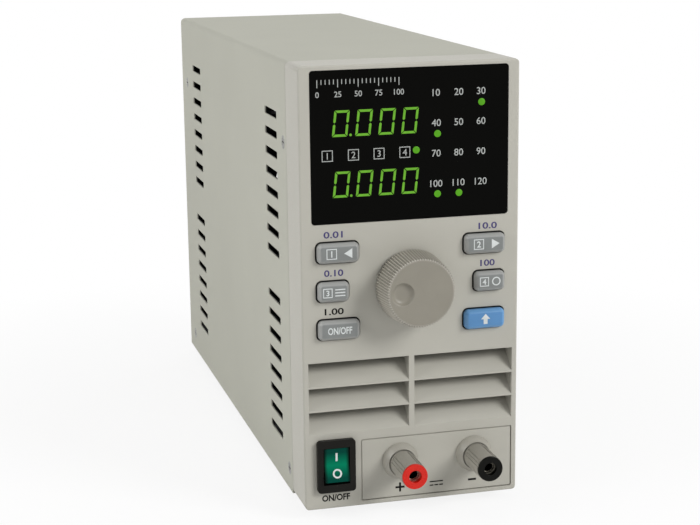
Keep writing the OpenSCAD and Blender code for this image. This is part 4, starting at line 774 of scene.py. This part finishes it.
def piece(name, bm, material, body, place=Matrix(), smooth=False):
    """Makes a drawing in front-face millimetres a piece that rides on a body."""
    bmesh.ops.recalc_face_normals(bm, faces=bm.faces)
    mesh = bpy.data.meshes.new(name)
    bm.to_mesh(mesh)
    bm.free()
    mesh.transform(TO_ROW @ place)
    mesh.materials.append(material)
    made = bpy.data.objects.new(name, mesh)
    bpy.context.scene.collection.objects.link(made)
    if smooth:
        mesh.shade_smooth()
    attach(made, body)
    return made


def lifted(y):
    """Moves a flat drawing to a depth behind the front face."""
    return Matrix.Translation((0, y, 0))


def middle(node):
    """Middle of a CAD node, in front-face millimetres."""
    return TO_ROW.inverted() @ middle_of(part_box(node))


# Display

def half_zero(bm, x, z, mirror):
    """One side of a nought: an upper and a lower upright bar."""
    t = DIGIT_BAR
    g = DIGIT_GAP
    high = DIGIT_HIGH
    mid = high / 2
    upper = [(t / 2, mid + g), (t, mid + g + t / 2), (t, high - t - g), (0, high - g), (0, mid + g + t / 2)]
    lower = [(0, g), (t, t + g), (t, mid - g - t / 2), (t / 2, mid - g), (0, mid - g - t / 2)]
    for points in (upper, lower):
        if mirror:
            points = [(DIGIT_WIDE - px, pz) for px, pz in points[::-1]]
        plate(bm, [(x + px + pz * DIGIT_LEAN, z + pz) for px, pz in points])


def nought(bm, x, z):
    """A seven-bar nought, leaning right, from its lower left corner."""
    t = DIGIT_BAR
    g = DIGIT_GAP
    high = DIGIT_HIGH
    wide = DIGIT_WIDE
    top = [(t + g, high - t), (wide - t - g, high - t), (wide - g, high), (g, high)]
    foot = [(g, 0), (wide - g, 0), (wide - t - g, t), (t + g, t)]
    for points in (top, foot):
        plate(bm, [(x + px + pz * DIGIT_LEAN, z + pz) for px, pz in points])
    half_zero(bm, x, z, False)
    half_zero(bm, x, z, True)


def display_digits():
    """Two rows of four lit noughts with a point after the first."""
    for name, z in zip(("upper_digits", "lower_digits"), DIGIT_ROWS):
        bm = bmesh.new()
        for i in range(DIGITS):
            nought(bm, DIGIT_LEFT + i * DIGIT_PITCH, z)
        point = circle(POINT_X, 0, z + POINT_UP, POINT_RADIUS, POINT_STEPS)
        plate(bm, [(px, pz) for px, _, pz in point])
        piece(name, bm, LIT_DIGIT, "case", lifted(WINDOW_Y))


def display_lamps():
    """Lamps that are on."""
    bm = bmesh.new()
    for x, z in LIT_LAMPS:
        dome(bm, x, z, LAMP_RADIUS, LAMP_RISE)
    piece("lit_lamps", bm, LIT_LAMP, "case", lifted(WINDOW_Y), smooth=True)


def window_print():
    """White figures on the window: lamp numbers and numbered boxes."""
    bm = bmesh.new()
    for row, z in enumerate(LEGEND_ROWS):
        for column, x in enumerate(LEGEND_COLUMNS):
            place = row * len(LEGEND_COLUMNS) + column + 1
            word(bm, str(LEGEND_STEP * place), x, z, LEGEND_HIGH, bold=LEGEND_BOLD)
    for i, x in enumerate(CELL_BOXES):
        frame_box(bm, x, CELL_Z, CELL_SIDE, CELL_LINE)
        word(bm, str(i + 1), x, CELL_Z, CELL_FIGURE, bold=0.0)
    piece("window_figures", bm, WINDOW_PRINT, "case", lifted(WINDOW_Y))


def window_scale():
    """Plain tick scale along the top of the window."""
    bm = bmesh.new()
    for i in range(SCALE_TICKS):
        x = SCALE_LEFT + i * SCALE_PITCH
        tall = SCALE_SHORT if i % SCALE_GROUP else SCALE_LONG
        bar(bm, x - SCALE_HALF_LINE, SCALE_TOP - tall, x + SCALE_HALF_LINE, SCALE_TOP)
    for i in range(SCALE_TICKS // SCALE_GROUP + 1):
        x = SCALE_LEFT + i * SCALE_GROUP * SCALE_PITCH
        word(bm, str(SCALE_FIGURE_STEP * i), x, SCALE_FIGURE_Z, SCALE_FIGURE_HIGH, bold=LEGEND_BOLD)
    piece("window_scale", bm, WINDOW_PRINT, "case", lifted(WINDOW_Y))


# Keys

def rounded_row(wide, high, radius, y, steps=6):
    """Points of a rounded rectangle about the origin, at depth y."""
    points = []
    for corner, (sx, sz) in enumerate(((1, -1), (1, 1), (-1, 1), (-1, -1))):
        for i in range(steps + 1):
            turn = math.pi / 2 * (corner - 1 + i / steps)
            x = sx * (wide / 2 - radius) + radius * math.cos(turn)
            z = sz * (high / 2 - radius) + radius * math.sin(turn)
            points.append((x, y, z))
    return points


def stack(bm, rows):
    """Closed solid through rows of points, with flat ends."""
    made = [[bm.verts.new(p) for p in row] for row in rows]
    for one, two in zip(made, made[1:]):
        join_rows(bm, one, two)
    bm.faces.new(made[0][::-1])
    bm.faces.new(made[-1])


def mark_rows(mesh, name, shares, length):
    """Writes one share on every point of each row of points."""
    layer = mesh.attributes.new(name, "FLOAT", "POINT")
    for row, share in enumerate(shares):
        for i in range(row * length, (row + 1) * length):
            layer.data[i].value = share


def key_cap(node, wide, material):
    """Soft-edged key with its rim and stem, in place of the CAD key."""
    bm = bmesh.new()
    rim_wide = wide + 2 * KEY_RIM
    rim_high = KEY_HEIGHT + 2 * KEY_RIM
    rows = [
        rounded_row(rim_wide, rim_high, KEY_CORNER, KEY_RIM_Y + KEY_RIM_THICK),
        rounded_row(rim_wide, rim_high, KEY_CORNER, KEY_RIM_Y),
        rounded_row(wide, KEY_HEIGHT, KEY_CORNER, KEY_RIM_Y),
    ]
    edge = [0.0] * len(rows)
    gap = [1.0] * len(rows)
    for inset, drop, pale, dark in KEY_SIDE:
        y = -KEY_REACH + drop
        rows.append(rounded_row(wide - 2 * inset, KEY_HEIGHT - 2 * inset, KEY_CORNER - inset, y))
        edge.append(pale)
        gap.append(dark)
    stack(bm, rows)
    stack(bm, [circle(0, y, 0, STEM_RADIUS, STEM_STEPS) for y in (STEM_END, KEY_RIM_Y)])
    centre = middle(node)
    place = Matrix.Translation((centre.x, 0, centre.z))
    made = piece(node + "_cap", bm, material, node, place, smooth=True)
    # Shares of painted highlight and of painted shade along the rows of the key's side
    mark_rows(made.data, "edge", edge, len(rows[0]))
    mark_rows(made.data, "gap", gap, len(rows[0]))
    made.data.set_sharp_from_angle(angle=math.radians(KEY_SHARP))
    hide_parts(node)


def key_print(node, draw):
    """White marks on a key's front, drawn about the key's middle."""
    bm = bmesh.new()
    draw(bm)
    centre = middle(node)
    place = Matrix.Translation((centre.x, -KEY_REACH, centre.z))
    piece(node + "_marks", bm, WHITE_PRINT, node, place)


def boxed(bm, figure, x, side):
    """A figure in a square."""
    frame_box(bm, x, 0, side, MARK_LINE)
    word(bm, figure, x, 0, BOX_FIGURE * side)


def draw_left_key(bm):
    """A boxed figure and an arrow to the left."""
    boxed(bm, "1", WIDE_BOX_X, WIDE_BOX_SIDE)
    plate(bm, LEFT_ARROW)


def draw_right_key(bm):
    """A boxed figure and an arrow to the right."""
    boxed(bm, "2", WIDE_BOX_X, WIDE_BOX_SIDE)
    plate(bm, RIGHT_ARROW)


def draw_list_key(bm):
    """A boxed figure and three lines."""
    boxed(bm, "3", NARROW_BOX_X, NARROW_BOX_SIDE)
    for z in LIST_ROWS:
        bar(bm, LIST_LEFT, z - LIST_HALF, LIST_RIGHT, z + LIST_HALF)


def draw_ring_key(bm):
    """A boxed figure and a ring."""
    boxed(bm, "4", NARROW_BOX_X, NARROW_BOX_SIDE)
    ring(bm, RING_X, 0, RING_OUTER, RING_INNER)


def draw_switch_key(bm):
    """The words on and off."""
    word(bm, "ON/OFF", 0, 0, KEY_WORD_HIGH, KEY_WORD_WIDE)


def draw_arrow_key(bm):
    """An arrow that points up."""
    plate(bm, UP_HEAD)
    bar(bm, *UP_STEM)


KEYS = (
    ("top_left_key", KEY_WIDE, KEY_PLASTIC, draw_left_key),
    ("mid_left_key", KEY_NARROW, KEY_PLASTIC, draw_list_key),
    ("low_left_key", KEY_WIDE, KEY_PLASTIC, draw_switch_key),
    ("top_right_key", KEY_WIDE, KEY_PLASTIC, draw_right_key),
    ("mid_right_key", KEY_NARROW, KEY_PLASTIC, draw_ring_key),
    ("low_right_key", KEY_WIDE, BLUE_PLASTIC, draw_arrow_key),
)


def all_keys():
    """The six keys with their marks."""
    for node, wide, material, draw in KEYS:
        key_cap(node, wide, material)
        key_print(node, draw)


def key_labels():
    """Figures above the keys: plain step sizes."""
    bm = bmesh.new()
    for text, x, z, wide in BLUE_LABELS:
        word(bm, text, x, z, LABEL_HIGH, wide)
    piece("key_figures", bm, BLUE_PRINT, "case", lifted(0))
    bm = bmesh.new()
    text, x, z, wide = BLACK_LABEL
    word(bm, text, x, z, LABEL_HIGH, wide)
    piece("low_key_figure", bm, BLACK_PRINT, "case", lifted(0))


# Knob

def dimple_at(x, z):
    """Depth of the finger dimple at a point of the knob's front."""
    share = math.hypot(x - DIMPLE_X, z) / DIMPLE_RADIUS
    return DIMPLE_DEPTH * (1 - share ** DIMPLE_CURVE) if share < 1 else 0.0


def knob_finish():
    """Moulded plastic, with painted light on the ridged side: a painted highlight on the crests of the
    ridges, and less of it between them.
    """
    made = finish("knob_plastic", KNOB_COLOUR, 0.42, patch=8, tone=0.04, grain=0.4)
    marked(made, "crest", KNOB_CREST_HIGHLIGHT)
    marked(made, "groove", KNOB_GROOVE_LIGHT)
    return made


def mark_ridges(mesh, rows):
    """Writes on each point of the ridged side how much of it is crest or groove."""
    crest = mesh.attributes.new("crest", "FLOAT", "POINT")
    groove = mesh.attributes.new("groove", "FLOAT", "POINT")
    steps = RIDGES * RIDGE_STEPS
    for i in range(rows * steps):
        wave = math.cos(RIDGES * 2 * math.pi * (i % steps) / steps)
        crest.data[i].value = max(0.0, -wave)
        groove.data[i].value = max(0.0, wave)


def knob_row(radius, y, ridged, hollow=False):
    """One ring of points of the knob, ridged by a share of the full depth."""
    steps = RIDGES * RIDGE_STEPS
    row = []
    for i in range(steps):
        turn = 2 * math.pi * i / steps
        cut = 0.5 * RIDGE_DEPTH * ridged * (1 + math.cos(RIDGES * turn))
        x = (radius - cut) * math.cos(turn)
        z = (radius - cut) * math.sin(turn)
        row.append((x, y + (dimple_at(x, z) if hollow else 0), z))
    return row


def knob_piece():
    """Turned knob with fine ridges round its side and a finger dimple in its front."""
    bm = bmesh.new()
    edge_y = -KNOB_REACH + KNOB_EDGE
    foot_y = -KNOB_BACK - KNOB_FOOT
    face_radius = KNOB_FRONT_RADIUS - KNOB_EDGE
    rows = [knob_row(KNOB_BASE_RADIUS - KNOB_FOOT, -KNOB_BACK, 1.0)]
    for i in range(KNOB_STEPS + 1):
        share = i / KNOB_STEPS
        radius = KNOB_BASE_RADIUS + (KNOB_FRONT_RADIUS - KNOB_BASE_RADIUS) * share
        rows.append(knob_row(radius, foot_y + (edge_y - foot_y) * share, 1.0))
    for i in range(1, KNOB_STEPS + 1):
        turn = math.pi / 2 * i / KNOB_STEPS
        radius = face_radius + KNOB_EDGE * math.cos(turn)
        rows.append(knob_row(radius, edge_y - KNOB_EDGE * math.sin(turn), 1.0))
    side_rows = len(rows)
    for i in range(1, KNOB_RINGS):
        ridged = 1.0 if i == 1 else 0.0
        rows.append(knob_row(face_radius * (1 - i / KNOB_RINGS), -KNOB_REACH, ridged, hollow=True))
    stack(bm, rows)
    centre = middle("knob")
    made = piece("ridged_knob", bm, knob_finish(), "knob",
                 Matrix.Translation((centre.x, 0, centre.z)), smooth=True)
    mark_ridges(made.data, side_rows)
    made.data.set_sharp_from_angle(angle=math.radians(KNOB_SHARP))
    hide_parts("knob")


# Binding posts

def turned(bm, x, z, outline, steps=64):
    """Closed ring turned about a front-to-back axis, from an outline of (radius, y) points."""
    loop_rows(bm, [circle(x, y, z, radius, steps) for radius, y in outline])


def collar_outline():
    """Outline of a collar: soft shoulders from the plate to the cap, and a bore for the stud."""
    points = [(COLLAR_RADIUS, PLATE_Y)]
    for i in range(COLLAR_STEPS + 1):
        share = i / COLLAR_STEPS
        radius = COLLAR_RADIUS + (COLLAR_FRONT - COLLAR_RADIUS) * share ** COLLAR_CURVE
        points.append((radius, -COLLAR_FOOT - (COLLAR_REACH - COLLAR_FOOT) * share))
    groove = -COLLAR_REACH + COLLAR_GROOVE
    points += [(COLLAR_FRONT - COLLAR_LIP, -COLLAR_REACH), (COLLAR_FRONT - COLLAR_LIP, groove)]
    points += [(COLLAR_BORE, groove), (COLLAR_BORE, PLATE_BACK)]
    points += [(COLLAR_SLEEVE, PLATE_BACK), (COLLAR_SLEEVE, PLATE_Y)]
    return points


def collars():
    """Moulded collars under the two caps, in place of the CAD ones."""
    bm = bmesh.new()
    for name in ("positive_ring", "negative_ring"):
        centre = middle(name)
        turned(bm, centre.x, centre.z, collar_outline())
    made = piece("moulded_collars", bm, POST_PLASTIC, "case", smooth=True)
    made.data.set_sharp_from_angle(angle=math.radians(COLLAR_SHARP))
    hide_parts("post_collars")


# Switch and terminal marks

def rocker_marks():
    """White on and off signs on the two halves of the rocker."""
    bm = bmesh.new()
    x = middle("rocker").x
    bar(bm, x - ON_HALF, ON_LOW, x + ON_HALF, ON_HIGH)
    piece("rocker_on_mark", bm, WHITE_PRINT, "rocker", lifted(ON_Y))
    bm = bmesh.new()
    ring(bm, 0, 0, OFF_OUTER, OFF_INNER)
    tilt = Matrix.Rotation(math.radians(OFF_TILT), 4, "X")
    place = Matrix.Translation((x, OFF_Y, OFF_Z)) @ tilt
    piece("rocker_off_mark", bm, WHITE_PRINT, "rocker", place)


def terminal_marks():
    """Polarity signs, a direct-current sign and the switch's words."""
    bm = bmesh.new()
    for corners in (*PLUS_BARS, MINUS_BAR, DIRECT_BAR):
        bar(bm, *corners)
    for x in DASH_LEFTS:
        bar(bm, x, DASH_LOW, x + DASH_WIDE, DASH_HIGH)
    piece("terminal_signs", bm, BLACK_PRINT, "case", lifted(PLATE_Y))
    bm = bmesh.new()
    word(bm, "ON/OFF", SWITCH_WORD_X, SWITCH_WORD_Z, SWITCH_WORD_HIGH, SWITCH_WORD_WIDE, SWITCH_WORD_BOLD)
    piece("switch_words", bm, BLACK_PRINT, "case", lifted(0))


# Stage

def seen_share(tree):
    """1 for camera, glossy and see-through rays, and 0 for light that falls on the object."""
    path = tree.nodes.new("ShaderNodeLightPath")
    some = math_node(tree, "MAXIMUM", path.outputs["Is Camera Ray"], path.outputs["Is Glossy Ray"])
    return math_node(tree, "MAXIMUM", some, path.outputs["Is Transmission Ray"])


def white_world():
    """White behind the object, and a plain soft sky as light."""
    world = bpy.data.worlds.new("studio")
    world.use_nodes = True
    tree = world.node_tree
    tree.nodes.clear()
    sky = tree.nodes.new("ShaderNodeBackground")
    sky.inputs["Strength"].default_value = SKY_LEVEL
    sky.inputs["Color"].default_value = (1, 1, 1, 1)
    behind = tree.nodes.new("ShaderNodeBackground")
    behind.inputs["Color"].default_value = (1, 1, 1, 1)
    mix = tree.nodes.new("ShaderNodeMixShader")
    out = tree.nodes.new("ShaderNodeOutputWorld")
    tree.links.new(seen_share(tree), mix.inputs["Fac"])
    tree.links.new(sky.outputs["Background"], mix.inputs[1])
    tree.links.new(behind.outputs["Background"], mix.inputs[2])
    tree.links.new(mix.outputs["Shader"], out.inputs["Surface"])
    bpy.context.scene.world = world


def floor_finish():
    """White floor that keeps a soft shadow near the object and is plain white further off."""
    made = bpy.data.materials.new("floor")
    made.use_nodes = True
    tree = made.node_tree
    tree.nodes.clear()
    place = tree.nodes.new("ShaderNodeTexCoord")
    far = tree.nodes.new("ShaderNodeVectorMath")
    far.operation = "LENGTH"
    tree.links.new(place.outputs["Object"], far.inputs[0])
    fade = tree.nodes.new("ShaderNodeMapRange")
    fade.inputs["From Min"].default_value = FLOOR_NEAR
    fade.inputs["From Max"].default_value = FLOOR_FAR
    fade.inputs["To Min"].default_value = FLOOR_GLOW
    fade.inputs["To Max"].default_value = 1.0
    tree.links.new(far.outputs["Value"], fade.inputs["Value"])
    share = math_node(tree, "MULTIPLY", seen_share(tree), fade.outputs["Result"])
    plain = tree.nodes.new("ShaderNodeBsdfDiffuse")
    plain.inputs["Color"].default_value = (0.9, 0.9, 0.9, 1)
    glow = tree.nodes.new("ShaderNodeEmission")
    glow.inputs["Strength"].default_value = 1.0
    mix = tree.nodes.new("ShaderNodeMixShader")
    out = tree.nodes.new("ShaderNodeOutputMaterial")
    tree.links.new(share, mix.inputs["Fac"])
    tree.links.new(plain.outputs["BSDF"], mix.inputs[1])
    tree.links.new(glow.outputs["Emission"], mix.inputs[2])
    tree.links.new(mix.outputs["Shader"], out.inputs["Surface"])
    return made


def studio_floor():
    """Round floor under the feet."""
    bm = bmesh.new()
    bmesh.ops.create_circle(bm, cap_ends=True, segments=96, radius=FLOOR_RADIUS)
    mesh = bpy.data.meshes.new("floor")
    bm.to_mesh(mesh)
    bm.free()
    floor = bpy.data.objects.new("floor", mesh)
    floor.location.z = cad_box[0].z - FLOOR_DROP
    mesh.materials.append(floor_finish())
    bpy.context.scene.collection.objects.link(floor)


def soft_lamp(name, direction, size, level):
    """Square lamp that shines on the middle of the object from a direction."""
    away = Vector(direction).normalized()
    data = bpy.data.lights.new(name, "AREA")
    data.size = size
    data.energy = level * math.pi ** 2 * LIGHT_DISTANCE ** 2
    lamp = bpy.data.objects.new(name, data)
    lamp.location = Vector(LIGHT_AIM) + away * LIGHT_DISTANCE
    lamp.rotation_euler = away.to_track_quat("Z", "Y").to_euler()
    bpy.context.scene.collection.objects.link(lamp)


def photo_camera():
    """Camera at the photograph's place."""
    data = bpy.data.cameras.new("camera")
    data.lens = CAMERA_LENS
    data.sensor_width = 36.0
    data.clip_start = 0.01
    data.clip_end = 50.0
    camera = bpy.data.objects.new("camera", data)
    place = TO_ROW @ Vector(CAMERA_AT)
    look = TO_ROW @ Vector(CAMERA_AIM) - place
    turn = look.to_track_quat("-Z", "Y").to_matrix().to_4x4()
    roll = Matrix.Rotation(math.radians(CAMERA_ROLL), 4, "Z")
    camera.matrix_world = Matrix.Translation(place) @ turn @ roll
    bpy.context.scene.collection.objects.link(camera)
    bpy.context.scene.camera = camera


photo_camera()
dress_nodes()
display_digits()
display_lamps()
window_print()
window_scale()
all_keys()
key_labels()
knob_piece()
collars()
rocker_marks()
terminal_marks()
white_world()
studio_floor()
for light in LIGHTS:
    soft_lamp(*light)
bpy.context.scene.view_settings.view_transform = "Standard"
